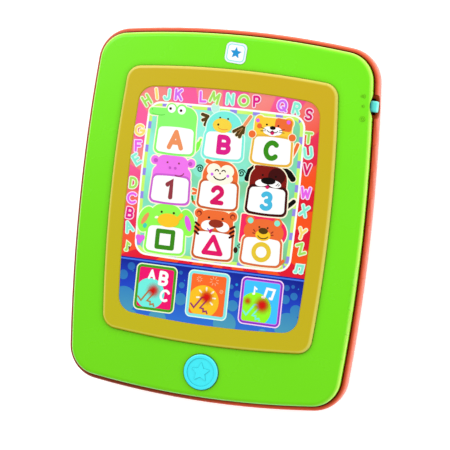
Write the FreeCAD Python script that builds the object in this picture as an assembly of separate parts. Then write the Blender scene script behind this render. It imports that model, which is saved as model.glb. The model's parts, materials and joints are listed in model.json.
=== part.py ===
import FreeCAD, Part
import math
import os

V = FreeCAD.Vector

# Kids toy tablet lying on its back. Millimetres. X to the right, Y towards the
# top edge, Z up towards the screen. The origin is under the middle of the body,
# on the plane that the rubber feet stand on.

# ---- driving dimensions -------------------------------------------------
# A bowed outline is (half width, half height, side bow, end bow, corner radius, centre y).
FRONT_OUTLINE = (94.9, 117.1, 5.9, 7.7, 18.8, -0.3)    # green front casing
REAR_OUTLINE = (98.3, 120.5, 6.2, 8.2, 22.2, -0.3)     # orange rear casing, 3.4 outside the front one
BEZEL_OUTLINE = (73.9, 89.0, 4.3, 4.2, 9.7, 5.7)       # outside of the screen bezel
WINDOW_OUTLINE = (62.5, 75.8, 2.8, 3.2, 10.6, 5.3)     # visible printed window

FIT = 0.05            # gap between parts that touch
SEAT = 0.15           # gap between parts that locate in one another

FOOT_HEIGHT = 1.0     # rubber feet stand the back off the table
BACK_Z = FOOT_HEIGHT
FLOOR_THICK = 2.2     # rear casing's back wall
FLOOR_Z = BACK_Z + FLOOR_THICK
BACK_ROUNDING = 9.0   # radius from the back into the side wall
RIM_TOP_Z = 15.6      # top of the orange rim
RIM_ROUNDING = 2.3
RIM_BAND_Z = 12.5     # the wall is thicker above this height, to carry the seam
REAR_WALL = 2.6

SEAM_GAP = 0.5        # height of the gap between the two casings
SEAM_WIDTH = 0.8      # groove in the rim beside the front casing
SEAM_DEPTH = 1.6
FRONT_BOTTOM_Z = RIM_TOP_Z + SEAM_GAP
FACE_Z = 21.8         # flat face of the front casing
FACE_ROUNDING = 3.0
FACE_THICK = 2.4
UNDERSIDE_Z = FACE_Z - FACE_THICK
FRONT_WALL = 3.6
LIP_INSET = 2.45      # outside of the locating lip below the seam
LIP_BOTTOM_Z = 13.4

BEZEL_TOP_Z = 23.8
BEZEL_SEAT_Z = 20.6   # floor of the recess that the bezel sits in
BEZEL_ROUNDING = 2.0
WINDOW_CHAMFER = 0.6
LEDGE = 4.0           # width of the ledge under the bezel
SKIRT_BOTTOM_Z = 17.6
SKIRT_WALL = 1.75

PRINT_Z = 23.1        # top face of the printed sheet
SHEET = 0.35          # printed sheet and each membrane layer
PLATE_THICK = 2.3
SHEET_MARGIN = 1.5    # how far the sheets run under the bezel's lip

BUTTON_Y = -100.7
BUTTON_R = 11.5
BUTTON_HOLE_R = 11.9
BUTTON_TOP_Z = 23.2
BUTTON_FLANGE_R = 13.6
BUTTON_BOARD_Z = 10.2
BUTTON_BOARD_THICK = 1.2
BUTTON_SCREW_XS = (-19.0, 19.0)
BUTTON_FLANGE_Z = 18.0                                 # underside of the button's flange

SWITCH_Y = 79.9       # slide switch on the right side wall
SWITCH_Z = 16.2
SLOT_HALF_Y = 7.7
SLOT_HALF_Z = 5.0
KNOB_HALF_Y = 3.55
KNOB_HALF_Z = 2.9
SLIDE_TRAVEL = 3.0    # each way from the middle position
STEM_HALF_Y = 2.2
STEM_HALF_Z = 2.0
LINER_X = 88.9        # face of the liner's flange, against the inside of the wall
LINER_EDGE = 1.4
LINER_THICK = 1.3

SPEAKER_Y = 60.0
SPEAKER_R = 20.0
GRILLE_HOLE_R = 1.3
GRILLE_RINGS = ((5.0, 6), (10.0, 12), (15.0, 18))      # ring radius and number of holes
CLAMP_Z = 8.2         # top of the posts under the speaker's clamp ring
CLAMP_THICK = 1.6
BASKET_HEIGHT = 7.4

BATTERY_Y = -46.0
CELL_R = 5.25         # AAA cell
CELL_LENGTH = 44.5
CELL_PITCH = 11.4
CELL_Z = 8.75
BAY_HALF_X = 27.5
BAY_HALF_Y = 17.5
BAY_ROOF_Z = 14.1
BAY_WALL = 1.5
DOOR_HALF_X = 37.0
DOOR_HALF_Y = 21.0
DOOR_THICK = 1.6
DOOR_RIB = 0.35       # raised middle of the door's inside
DOOR_SCREW_X = 33.0
DOOR_SCREW_R = 1.5
DOOR_HEAD_R = 3.0

CASE_SCREWS = [(76.0, 98.0), (-76.0, 98.0), (84.0, 4.0), (-84.0, 4.0), (76.0, -98.0), (-76.0, -98.0)]
FEET = [(58.0, 98.0), (-58.0, 98.0), (58.0, -98.0), (-58.0, -98.0)]

PCB_Z = 8.0
PCB_THICK = 1.6
PCB_BOX = (-40.0, -20.0, 80.0, 48.0)                   # x, y, width, height
PCB_SCREWS = [(-36.0, -16.0), (36.0, -16.0), (-36.0, 24.0), (36.0, 24.0)]
LED_BOARD_Z = 15.7
LED_BOARD_THICK = 1.2
LED_SPOTS = [(-37.2, -52.3), (-1.0, -52.0), (36.2, -52.5), (26.4, -51.0)]
LED_R = 1.5

CARD_XS = (-33.1, -0.6, 31.7)                          # middles of the nine printed cards
CARD_YS = (45.8, 14.0, -18.5)
KEY_XS = (-36.2, -0.6, 35.0)                           # middles of the three square keys
KEY_Y = -50.7
TOUCH_R = 5.0

# screw sizes: shank radius, head radius, head height
CASE_SCREW = (1.4, 3.0, 2.2)
BOARD_SCREW = (1.0, 2.1, 1.4)
PLATE_SCREW = (0.9, 1.7, 1.2)
SWITCH_SCREW = (0.9, 1.8, 1.3)
CASE_SCREW_SEAT_Z = 5.45
POST_HOLE = 0.05      # how much wider a screw hole is than its shank
BOARD_HOLE = 0.15     # clearance round a shank in a board
WIRE_R = 0.6


# ---- building blocks ----------------------------------------------------
def bowed_face(outline, inset=0.0, z=0.0):
    """Face of a rounded rectangle whose four sides are arcs that bow outwards."""
    half_w, half_h, side_bow, end_bow, corner_r, centre_y = outline
    side_r = (half_h ** 2 + side_bow ** 2) / (2 * side_bow)
    end_r = (half_w ** 2 + end_bow ** 2) / (2 * end_bow)
    side_c = V(half_w - side_r, 0, 0)
    end_c = V(0, half_h - end_r, 0)
    # the corner arc's centre is where two circles round those centres cross
    gap = end_c - side_c
    d1 = side_r - corner_r
    d2 = end_r - corner_r
    along = (d1 ** 2 - d2 ** 2 + gap.Length ** 2) / (2 * gap.Length)
    across = math.sqrt(d1 ** 2 - along ** 2)
    unit = V(gap).normalize()
    corner = side_c + unit * along + V(-unit.y, unit.x, 0) * across
    if corner.x < 0 or corner.y < 0:
        corner = side_c + unit * along - V(-unit.y, unit.x, 0) * across
    to_side = (corner - side_c).normalize()
    to_end = (corner - end_c).normalize()
    r = corner_r - inset
    on_side = corner + to_side * r
    on_end = corner + to_end * r
    on_bend = corner + (to_side + to_end).normalize() * r
    right = V(half_w - inset, 0, 0)
    top = V(0, half_h - inset, 0)

    def flip(p, sx, sy):
        return V(p.x * sx, p.y * sy + centre_y, z)

    arcs = [
        (flip(on_side, 1, -1), flip(right, 1, 1), flip(on_side, 1, 1)),
        (flip(on_side, 1, 1), flip(on_bend, 1, 1), flip(on_end, 1, 1)),
        (flip(on_end, 1, 1), flip(top, 1, 1), flip(on_end, -1, 1)),
        (flip(on_end, -1, 1), flip(on_bend, -1, 1), flip(on_side, -1, 1)),
        (flip(on_side, -1, 1), flip(right, -1, 1), flip(on_side, -1, -1)),
        (flip(on_side, -1, -1), flip(on_bend, -1, -1), flip(on_end, -1, -1)),
        (flip(on_end, -1, -1), flip(top, 1, -1), flip(on_end, 1, -1)),
        (flip(on_end, 1, -1), flip(on_bend, 1, -1), flip(on_side, 1, -1)),
    ]
    edges = [Part.Arc(a, b, c).toShape() for a, b, c in arcs]
    return Part.Face(Part.Wire(edges))


def bowed_prism(outline, inset, z0, z1):
    """Straight prism of a bowed outline between two heights."""
    return bowed_face(outline, inset, z0).extrude(V(0, 0, z1 - z0))


def round_loop(solid, z, radius):
    """Round every edge that lies flat at height z."""
    edges = [e for e in solid.Edges if abs(e.BoundBox.ZMin - z) < 1e-4 and abs(e.BoundBox.ZMax - z) < 1e-4]
    return solid.makeFillet(radius, edges)


def disc(x, y, z0, z1, radius):
    """Upright cylinder."""
    return Part.makeCylinder(radius, z1 - z0, V(x, y, z0))


def tube(x, y, z0, z1, outer, inner):
    """Upright tube."""
    return disc(x, y, z0, z1, outer).cut(disc(x, y, z0, z1, inner))


def block(x0, x1, y0, y1, z0, z1):
    """Box between two corners."""
    return Part.makeBox(x1 - x0, y1 - y0, z1 - z0, V(x0, y0, z0))


def soft_block(x0, x1, y0, y1, z0, z1, radius):
    """Box with rounded upright edges."""
    solid = block(x0, x1, y0, y1, z0, z1)
    upright = [e for e in solid.Edges if abs(e.BoundBox.ZLength - (z1 - z0)) < 1e-4]
    return solid.makeFillet(radius, upright)


def side_oval(half_y, half_z, x0, x1):
    """Oval prism that runs along X, centred on the slide switch."""
    ellipse = Part.Ellipse(V(x0, SWITCH_Y + half_y, SWITCH_Z), V(x0, SWITCH_Y, SWITCH_Z + half_z),
                           V(x0, SWITCH_Y, SWITCH_Z))
    return Part.Face(Part.Wire(ellipse.toShape())).extrude(V(x1 - x0, 0, 0))


def fuse_all(shapes):
    """One solid from many."""
    return shapes[0].multiFuse(shapes[1:]).removeSplitter()


def cut_all(shape, tools):
    """Cut many tools from a shape."""
    return shape.cut(Part.makeCompound(tools))


def cross_screw(x, y, seat_z, tip_z, shank_r, head_r, head_h):
    """Screw with its head below seat_z, its shank running up to tip_z, and a cross recess."""
    shank = disc(x, y, seat_z - head_h / 2, tip_z, shank_r)
    head = disc(x, y, seat_z - head_h, seat_z, head_r)
    rim = [e for e in head.Edges if abs(e.BoundBox.ZMax - (seat_z - head_h)) < 1e-4]
    head = head.makeFillet(head_h * 0.4, rim)
    slot = head_r * 0.62
    web = head_r * 0.13
    low = seat_z - head_h
    bar_x = block(x - slot, x + slot, y - web, y + web, low, low + head_h * 0.6)
    bar_y = block(x - web, x + web, y - slot, y + slot, low, low + head_h * 0.6)
    return shank.fuse(head).cut(bar_x).cut(bar_y)


def upright_screw(x, y, seat_z, length):
    """Board screw with its head on top of seat_z and its shank pointing down."""
    screw = cross_screw(0, 0, 0, length, *BOARD_SCREW)
    screw.rotate(V(0, 0, 0), V(1, 0, 0), 180)
    screw.translate(V(x, y, seat_z))
    return screw


def wire_run(points, radius):
    """Round wire through a list of points."""
    pieces = []
    for start, end in zip(points[:-1], points[1:]):
        step = V(*end) - V(*start)
        pieces.append(Part.makeCylinder(radius, step.Length, V(*start), step))
    for bend in points[1:-1]:
        pieces.append(Part.makeSphere(radius, V(*bend)))
    return fuse_all(pieces)


def star_face(x, y, z, outer, inner):
    """Five-pointed star."""
    points = []
    for i in range(10):
        radius = outer if i % 2 == 0 else inner
        angle = math.pi / 2 + i * math.pi / 5
        points.append(V(x + radius * math.cos(angle), y + radius * math.sin(angle), z))
    return Part.Face(Part.makePolygon(points + [points[0]]))


# ---- casings ------------------------------------------------------------
def bay_frame():
    """Battery bay's walls, roof and screw bosses, still solid inside."""
    frame = block(-DOOR_HALF_X - 2, DOOR_HALF_X + 2, BATTERY_Y - DOOR_HALF_Y - 2, BATTERY_Y + DOOR_HALF_Y + 2,
                  BACK_Z, FLOOR_Z + 1.4)
    half_x = BAY_HALF_X + BAY_WALL
    half_y = BAY_HALF_Y + BAY_WALL
    box = block(-half_x, half_x, BATTERY_Y - half_y, BATTERY_Y + half_y, BACK_Z, BAY_ROOF_Z + BAY_WALL - 0.1)
    bosses = [disc(side * DOOR_SCREW_X, BATTERY_Y, BACK_Z, 11.0, 3.4) for side in (-1, 1)]
    return [frame, box] + bosses


def grille_holes():
    """Sound holes in rings under the speaker."""
    holes = [disc(0, SPEAKER_Y, BACK_Z - 1, FLOOR_Z + 1, GRILLE_HOLE_R)]
    for ring_r, count in GRILLE_RINGS:
        for i in range(count):
            angle = 2 * math.pi * i / count
            x = ring_r * math.cos(angle)
            y = SPEAKER_Y + ring_r * math.sin(angle)
            holes.append(disc(x, y, BACK_Z - 1, FLOOR_Z + 1, GRILLE_HOLE_R))
    return holes


def rear_casing():
    """Orange tub with a rounded back, battery bay, screw wells, board posts and sound holes."""
    tub = bowed_prism(REAR_OUTLINE, 0, BACK_Z, RIM_TOP_Z)
    tub = round_loop(tub, BACK_Z, BACK_ROUNDING)
    tub = round_loop(tub, RIM_TOP_Z, RIM_ROUNDING)
    hollow = bowed_prism(REAR_OUTLINE, REAR_WALL, FLOOR_Z, RIM_BAND_Z)
    hollow = round_loop(hollow, FLOOR_Z, BACK_ROUNDING - REAR_WALL)
    mouth = bowed_prism(FRONT_OUTLINE, LIP_INSET - SEAT, RIM_BAND_Z - 1, RIM_TOP_Z + 1)
    groove = bowed_prism(FRONT_OUTLINE, -SEAM_WIDTH, RIM_TOP_Z - SEAM_DEPTH, RIM_TOP_Z + 1)
    tub = tub.cut(hollow).cut(mouth).cut(groove)

    adds = bay_frame()
    adds += [disc(x, y, BACK_Z + 1, 11.8, 4.6) for x, y in CASE_SCREWS]
    adds += [disc(x, y, BACK_Z + 1, PCB_Z - FIT, 2.8) for x, y in PCB_SCREWS]
    adds += [tube(0, SPEAKER_Y, BACK_Z + 1, 7.0, SPEAKER_R + 2.3, SPEAKER_R + 0.5)]
    adds += [disc(x, y, BACK_Z + 1, CLAMP_Z, 2.6) for x, y in speaker_screw_spots()]
    tub = fuse_all([tub] + adds)

    cuts = grille_holes()
    cuts.append(block(-BAY_HALF_X, BAY_HALF_X, BATTERY_Y - BAY_HALF_Y, BATTERY_Y + BAY_HALF_Y, 0, BAY_ROOF_Z))
    cuts.append(soft_block(-DOOR_HALF_X - 0.25, DOOR_HALF_X + 0.25, BATTERY_Y - DOOR_HALF_Y - 0.25,
                           BATTERY_Y + DOOR_HALF_Y + 0.25, 0, BACK_Z + DOOR_THICK + FIT, 4.25))
    cuts += [disc(side * DOOR_SCREW_X, BATTERY_Y, BACK_Z, 9.6, DOOR_SCREW_R + POST_HOLE) for side in (-1, 1)]
    for x, y in CASE_SCREWS:
        cuts.append(disc(x, y, 0, 5.5, 3.4))
        cuts.append(disc(x, y, 5, 12.5, 1.7))
    hole_r = BOARD_SCREW[0] + POST_HOLE
    cuts += [disc(x, y, 4.0, PCB_Z + 1, hole_r) for x, y in PCB_SCREWS]
    cuts += [disc(x, y, 4.0, CLAMP_Z + 1, hole_r) for x, y in speaker_screw_spots()]
    cuts += [disc(x, y, 0, BACK_Z + 0.8, 6.1) for x, y in FEET]
    cuts.append(side_oval(SLOT_HALF_Y, SLOT_HALF_Z, LINER_X - FIT, 110))
    cuts.append(liner_flange(0.1))
    return cut_all(tub, cuts)


def switch_marks():
    """Raised marks beside the switch: long bars for loud, short bars for quiet, a ring for off."""
    z0 = FACE_Z - 0.2
    z1 = FACE_Z + 0.25
    marks = []
    for i, length in enumerate((0.9, 1.5, 2.1)):
        marks.append(block(85.0 + i * 1.0, 85.5 + i * 1.0, 85.6 - length / 2, 85.6 + length / 2, z0, z1))
    for i, length in enumerate((0.9, 1.5)):
        marks.append(block(86.0 + i * 1.0, 86.5 + i * 1.0, 79.4 - length / 2, 79.4 + length / 2, z0, z1))
    marks.append(tube(87.4, 71.4, z0, z1, 1.55, 1.0))
    return marks


def front_casing():
    """Green cover with the bezel's recess, the button's sleeve, screw posts and a lip below the seam."""
    cover = bowed_prism(FRONT_OUTLINE, 0, FRONT_BOTTOM_Z, FACE_Z)
    cover = round_loop(cover, FACE_Z, FACE_ROUNDING)
    cover = round_loop(cover, FRONT_BOTTOM_Z, 0.9)
    cover = cover.cut(bowed_prism(FRONT_OUTLINE, FRONT_WALL, FRONT_BOTTOM_Z - 1, UNDERSIDE_Z))
    lip = bowed_prism(FRONT_OUTLINE, LIP_INSET, LIP_BOTTOM_Z, FRONT_BOTTOM_Z + 1.2)
    lip = lip.cut(bowed_prism(FRONT_OUTLINE, FRONT_WALL, LIP_BOTTOM_Z - 1, FRONT_BOTTOM_Z + 2))

    adds = [lip] + switch_marks()
    adds += [disc(x, y, 12.0, UNDERSIDE_Z + 1, 4.2) for x, y in CASE_SCREWS]
    hang_z = BUTTON_BOARD_Z + BUTTON_BOARD_THICK + 2 * FIT
    sleeve = disc(0, BUTTON_Y, hang_z, UNDERSIDE_Z + 1, BUTTON_FLANGE_R + 1.9)
    adds.append(sleeve.common(bowed_prism(FRONT_OUTLINE, LIP_INSET, 0, FACE_Z)))
    adds += [disc(x, BUTTON_Y, hang_z, UNDERSIDE_Z + 1, 2.6) for x in BUTTON_SCREW_XS]
    adds += [disc(x, y, 16.4, UNDERSIDE_Z + 1, 2.4) for x, y in switch_screw_spots()]
    cover = fuse_all([cover] + adds)

    cuts = [
        bowed_prism(BEZEL_OUTLINE, -SEAT, BEZEL_SEAT_Z, FACE_Z + 1),
        bowed_prism(BEZEL_OUTLINE, LEDGE, UNDERSIDE_Z - 1, FACE_Z),
        disc(0, BUTTON_Y, UNDERSIDE_Z - 1, FACE_Z + 1, BUTTON_HOLE_R),
        disc(0, BUTTON_Y, BUTTON_BOARD_Z, UNDERSIDE_Z, BUTTON_FLANGE_R + 0.3),
        side_oval(SLOT_HALF_Y, SLOT_HALF_Z, LINER_X - FIT, 110),
        liner_flange(0.1),
    ]
    cuts += [disc(x, y, 11, 18.6, 1.45) for x, y in CASE_SCREWS]
    hole_r = BOARD_SCREW[0] + POST_HOLE
    cuts += [disc(x, BUTTON_Y, 10, 17.5, hole_r) for x in BUTTON_SCREW_XS]
    cuts += [disc(x, y, 15, 19.2, SWITCH_SCREW[0] + POST_HOLE) for x, y in switch_screw_spots()]
    return cut_all(cover, cuts)


def rubber_feet():
    """Four round feet glued into shallow pockets."""
    feet = []
    for x, y in FEET:
        foot = disc(x, y, 0, BACK_Z + 0.75, 6.0)
        low = [e for e in foot.Edges if e.BoundBox.ZMax < 1e-4]
        feet.append(foot.makeFillet(0.6, low))
    return Part.makeCompound(feet)


def casing_screws():
    """Six screws that join the casings from the back."""
    seat_z = CASE_SCREW_SEAT_Z
    return Part.makeCompound([cross_screw(x, y, seat_z, 18.0, *CASE_SCREW) for x, y in CASE_SCREWS])


def badge_sticker():
    """Round-cornered sticker above the screen."""
    sticker = soft_block(-7.0, 7.0, -6.6, 6.6, 0, 0.25, 3.4)
    sticker.rotate(V(0, 0, 0), V(0, 0, 1), -4)
    sticker.translate(V(1.0, 105.2, FACE_Z + 0.02))
    return sticker


# ---- screen -------------------------------------------------------------
def bezel_post_spots():
    """Posts round the window that take the backing plate's screws."""
    left_right = [(side * 64.9, y) for side in (-1, 1) for y in (-35.0, 46.0)]
    top_bottom = [(x, y) for x in (-32.0, 32.0) for y in (-74.1, 84.9)]
    return left_right + top_bottom


def screen_bezel():
    """Yellow frame with a rounded outer edge, a skirt through the front casing and screw posts."""
    frame = bowed_prism(BEZEL_OUTLINE, 0, BEZEL_SEAT_Z + FIT, BEZEL_TOP_Z)
    frame = round_loop(frame, BEZEL_TOP_Z, BEZEL_ROUNDING)
    under = bowed_prism(BEZEL_OUTLINE, LEDGE + SEAT + SKIRT_WALL, SKIRT_BOTTOM_Z - 1, PRINT_Z + FIT)
    sheet_pocket = bowed_prism(WINDOW_OUTLINE, -SHEET_MARGIN - 0.2, SKIRT_BOTTOM_Z - 1, PRINT_Z + FIT)
    skirt = bowed_prism(BEZEL_OUTLINE, LEDGE + SEAT, SKIRT_BOTTOM_Z, BEZEL_SEAT_Z + 1)
    posts = [disc(x, y, plate_top_z() + FIT, PRINT_Z + 0.3, 1.9) for x, y in bezel_post_spots()]
    body = fuse_all([frame, skirt]).cut(under)
    body = fuse_all([body] + posts).cut(sheet_pocket)
    window = bowed_prism(WINDOW_OUTLINE, 0, PRINT_Z - 1, BEZEL_TOP_Z + 1)
    body = body.cut(window)
    inner = [e for e in body.Edges
             if abs(e.BoundBox.ZMin - BEZEL_TOP_Z) < 1e-4 and abs(e.BoundBox.ZMax - BEZEL_TOP_Z) < 1e-4
             and e.BoundBox.XMax < WINDOW_OUTLINE[0] + 0.01 and e.BoundBox.XMin > -WINDOW_OUTLINE[0] - 0.01
             and e.BoundBox.YMax < WINDOW_OUTLINE[1] + WINDOW_OUTLINE[5] + 0.01
             and e.BoundBox.YMin > WINDOW_OUTLINE[5] - WINDOW_OUTLINE[1] - 0.01]
    body = body.makeChamfer(WINDOW_CHAMFER, inner)
    hole_r = PLATE_SCREW[0] + POST_HOLE
    return cut_all(body, [disc(x, y, SKIRT_BOTTOM_Z, PRINT_Z, hole_r) for x, y in bezel_post_spots()])


def sheet(level, inset=0.0):
    """One sheet of the stack; level counts down from the printed sheet."""
    top = PRINT_Z - level * (SHEET + FIT)
    return bowed_prism(WINDOW_OUTLINE, inset - SHEET_MARGIN, top - SHEET, top)


def plate_top_z():
    """Top face of the backing plate, under four sheets."""
    return PRINT_Z - 4 * (SHEET + FIT)


def touch_spots():
    """Centres of the twelve places that are pressed: nine cards and three keys."""
    cards = [(x, y) for x in CARD_XS for y in CARD_YS]
    keys = [(x, KEY_Y) for x in KEY_XS]
    return cards + keys


def membrane_spacer():
    """Spacer with a round hole at each touch place."""
    top = PRINT_Z - 2 * (SHEET + FIT)
    return cut_all(sheet(2), [disc(x, y, top - 1, top + 1, TOUCH_R) for x, y in touch_spots()])


def membrane_tail():
    """Flat tail that runs from the lower membrane to the main board."""
    x0, x1 = -20.0, -10.0
    top = PRINT_Z - 3 * (SHEET + FIT) - SHEET - FIT
    under = plate_top_z() - PLATE_THICK - 0.6
    slot_y = -68.5
    board = PCB_Z + PCB_THICK + FIT
    down = block(x0, x1, slot_y, slot_y + 0.3, under, top)
    run = block(x0, x1, slot_y, -17.0, under - 0.3, under)
    drop = block(x0, x1, -17.3, -17.0, board, under)
    foot = block(x0, x1, -17.3, -10.0, board, board + 0.3)
    return fuse_all([down, run, drop, foot])


def backing_plate():
    """Stiff plate behind the membrane, with light holes, a slot for the tail and screw holes."""
    top = plate_top_z()
    plate = bowed_prism(BEZEL_OUTLINE, LEDGE + 2 * SEAT + SKIRT_WALL, top - PLATE_THICK, top)
    cuts = [disc(x, y, top - 5, top + 1, LED_R + 0.8) for x, y in LED_SPOTS]
    cuts += [disc(x, y, top - 5, top + 1, 1.2) for x, y in bezel_post_spots()]
    cuts.append(block(-21.0, -9.0, -69.2, -67.4, top - 5, top + 1))
    return cut_all(plate, cuts)


def plate_screws():
    """Small screws that hold the backing plate to the bezel."""
    seat_z = plate_top_z() - PLATE_THICK - FIT
    spots = bezel_post_spots()
    return Part.makeCompound([cross_screw(x, y, seat_z, PRINT_Z - 0.2, *PLATE_SCREW) for x, y in spots])


# ---- home button --------------------------------------------------------
def home_button():
    """Round cap with a raised rim, a raised star and a flange that keeps it in the casing."""
    cap = disc(0, BUTTON_Y, BUTTON_FLANGE_Z, BUTTON_TOP_Z, BUTTON_R)
    cap = round_loop(cap, BUTTON_TOP_Z, 0.9)
    dish = disc(0, BUTTON_Y, BUTTON_TOP_Z - 0.45, BUTTON_TOP_Z + 1, BUTTON_R - 2.3)
    star = star_face(0, BUTTON_Y, BUTTON_TOP_Z - 0.6, 6.4, 3.1).extrude(V(0, 0, 0.55))
    flange = disc(0, BUTTON_Y, BUTTON_FLANGE_Z, UNDERSIDE_Z - 0.1, BUTTON_FLANGE_R)
    hollow = disc(0, BUTTON_Y, BUTTON_FLANGE_Z - 1, BUTTON_TOP_Z - 2.6, BUTTON_R - 1.8)
    pad = disc(0, BUTTON_Y, BUTTON_FLANGE_Z, BUTTON_TOP_Z - 2.2, 5.6)
    return fuse_all([cap.cut(dish), flange, star]).cut(hollow).fuse(pad).removeSplitter()


def button_dome():
    """Rubber dome that springs the button back."""
    base_z = BUTTON_BOARD_Z + BUTTON_BOARD_THICK + FIT
    top_z = BUTTON_FLANGE_Z - FIT
    skirt = disc(0, BUTTON_Y, base_z, base_z + 1.0, 8.0)
    cone = Part.makeCone(7.0, 4.6, top_z - base_z - 1.6, V(0, BUTTON_Y, base_z + 0.8))
    cap = disc(0, BUTTON_Y, top_z - 1.0, top_z, 4.6)
    inside = Part.makeCone(6.0, 3.4, top_z - base_z - 1.6, V(0, BUTTON_Y, base_z))
    return fuse_all([skirt, cone, cap]).cut(inside)


def button_board():
    """Small board under the button's rubber dome."""
    top = BUTTON_BOARD_Z + BUTTON_BOARD_THICK
    board = soft_block(-22.5, 22.5, BUTTON_Y - 10.5, BUTTON_Y + 10.5, BUTTON_BOARD_Z, top, 3.0)
    hole_r = BOARD_SCREW[0] + BOARD_HOLE
    return cut_all(board, [disc(x, BUTTON_Y, 9, 13, hole_r) for x in BUTTON_SCREW_XS])


def button_board_screws():
    """Two screws that hang the button's board from the front casing."""
    seat_z = BUTTON_BOARD_Z - FIT
    return Part.makeCompound([cross_screw(x, BUTTON_Y, seat_z, 16.8, *BOARD_SCREW) for x in BUTTON_SCREW_XS])


# ---- slide switch -------------------------------------------------------
def switch_screw_spots():
    """Screws that hold the slide switch under the front casing."""
    return [(79.6, SWITCH_Y - 10.4), (79.6, SWITCH_Y + 10.4)]


def liner_flange(margin):
    """Flange behind the slot, below the front casing's top wall; margin makes it the pocket's size."""
    wider = LINER_EDGE + margin
    flange = side_oval(SLOT_HALF_Y + wider, SLOT_HALF_Z + wider, LINER_X - LINER_THICK - margin, LINER_X)
    return flange.common(block(80, 100, 60, 100, 0, UNDERSIDE_Z - 0.1 + margin))


def switch_escutcheon():
    """Black oval liner behind the slot in the side wall."""
    plug = side_oval(SLOT_HALF_Y - 0.1, SLOT_HALF_Z - 0.1, LINER_X, LINER_X + 2.0)
    reach = STEM_HALF_Y + SLIDE_TRAVEL + SEAT
    rise = STEM_HALF_Z + SEAT
    window = block(80, 100, SWITCH_Y - reach, SWITCH_Y + reach, SWITCH_Z - rise, SWITCH_Z + rise)
    return fuse_all([plug, liner_flange(0)]).cut(window)


def slide_knob():
    """Knob with a ribbed face and a stem that drives the switch."""
    x0 = 91.0
    x1 = 95.3
    grip = block(x0, x1, SWITCH_Y - KNOB_HALF_Y, SWITCH_Y + KNOB_HALF_Y,
                 SWITCH_Z - KNOB_HALF_Z, SWITCH_Z + KNOB_HALF_Z)
    long_edges = [e for e in grip.Edges if abs(e.BoundBox.XLength - (x1 - x0)) < 1e-4]
    grip = grip.makeFillet(1.3, long_edges)
    outer = [e for e in grip.Edges if abs(e.BoundBox.XMin - x1) < 1e-4]
    grip = grip.makeFillet(0.9, outer)
    stem = block(84.0, x0 + 1, SWITCH_Y - STEM_HALF_Y, SWITCH_Y + STEM_HALF_Y,
                 SWITCH_Z - STEM_HALF_Z, SWITCH_Z + STEM_HALF_Z)
    socket = block(83.0, 86.9, SWITCH_Y - 1.25, SWITCH_Y + 1.25, SWITCH_Z - 1.25, SWITCH_Z + 1.25)
    return fuse_all([grip, stem]).cut(socket)


def slide_switch_body():
    """Metal can of the slide switch with two fixing tabs."""
    can = block(77.2, 82.6, SWITCH_Y - 7.2, SWITCH_Y + 7.2, SWITCH_Z - 2.6, SWITCH_Z + 2.6)
    hollow = block(78.0, 81.8, SWITCH_Y - 6.3, SWITCH_Y + 6.3, SWITCH_Z - 1.9, SWITCH_Z + 1.9)
    slot = block(81, 84, SWITCH_Y - 4.5, SWITCH_Y + 4.5, SWITCH_Z - 1.35, SWITCH_Z + 1.35)
    tabs = block(77.2, 82.0, SWITCH_Y - 13.0, SWITCH_Y + 13.0, 15.5, 16.35)
    can = fuse_all([can, tabs]).cut(hollow).cut(slot)
    return cut_all(can, [disc(x, y, 15, 17, SWITCH_SCREW[0] + BOARD_HOLE) for x, y in switch_screw_spots()])


def switch_slider():
    """Moving contact block of the slide switch with its actuator."""
    base = block(78.2, 81.6, SWITCH_Y - 2.6, SWITCH_Y + 2.6, SWITCH_Z - 1.7, SWITCH_Z + 1.7)
    nub = block(81.0, 86.7, SWITCH_Y - 1.2, SWITCH_Y + 1.2, SWITCH_Z - 1.2, SWITCH_Z + 1.2)
    return fuse_all([base, nub])


def switch_screws():
    """Two screws for the slide switch."""
    return Part.makeCompound([cross_screw(x, y, 15.45, 18.8, *SWITCH_SCREW) for x, y in switch_screw_spots()])


# ---- electronics --------------------------------------------------------
def main_pcb():
    """Main circuit board on four posts."""
    x, y, w, h = PCB_BOX
    board = soft_block(x, x + w, y, y + h, PCB_Z, PCB_Z + PCB_THICK, 2.0)
    hole_r = BOARD_SCREW[0] + BOARD_HOLE
    return cut_all(board, [disc(px, py, PCB_Z - 1, PCB_Z + 3, hole_r) for px, py in PCB_SCREWS])


def pcb_screws():
    """Four screws with their heads on top of the main board."""
    top = PCB_Z + PCB_THICK + FIT
    return Part.makeCompound([upright_screw(x, y, top, 4.2) for x, y in PCB_SCREWS])


def ic_blob():
    """Epoxy blob over the sound chip."""
    top = PCB_Z + PCB_THICK + FIT
    ball = Part.makeSphere(12.0, V(8.0, 6.0, top - 9.6))
    return ball.common(disc(8.0, 6.0, top, top + 5, 9.0))


def pcb_components():
    """Capacitors, crystal, amplifier and resistors on the main board."""
    top = PCB_Z + PCB_THICK + FIT
    pieces = []
    for x, y, r, h in ((-28.0, 16.0, 3.2, 7.0), (-28.0, 6.0, 2.5, 6.0), (28.0, 14.0, 2.5, 6.0)):
        can = disc(x, y, top, top + h, r)
        pieces.append(round_loop(can, top + h, 0.5))
    pieces.append(soft_block(-20.0, -9.0, -7.0, -3.0, top, top + 3.4, 1.9))
    pieces.append(block(18.0, 23.0, -10.0, -6.0, top, top + 1.6))
    for i in range(6):
        pieces.append(block(-16.0 + i * 4.0, -14.0 + i * 4.0, 20.0, 21.3, top, top + 0.7))
    for i in range(4):
        pieces.append(block(26.0, 28.0, -9.0 + i * 4.0, -7.7 + i * 4.0, top, top + 0.7))
    return Part.makeCompound(pieces)


def led_board():
    """Narrow board that carries the lamps under the three keys."""
    return soft_block(-44.0, 44.0, -60.0, -45.0, LED_BOARD_Z, LED_BOARD_Z + LED_BOARD_THICK, 2.0)


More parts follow.
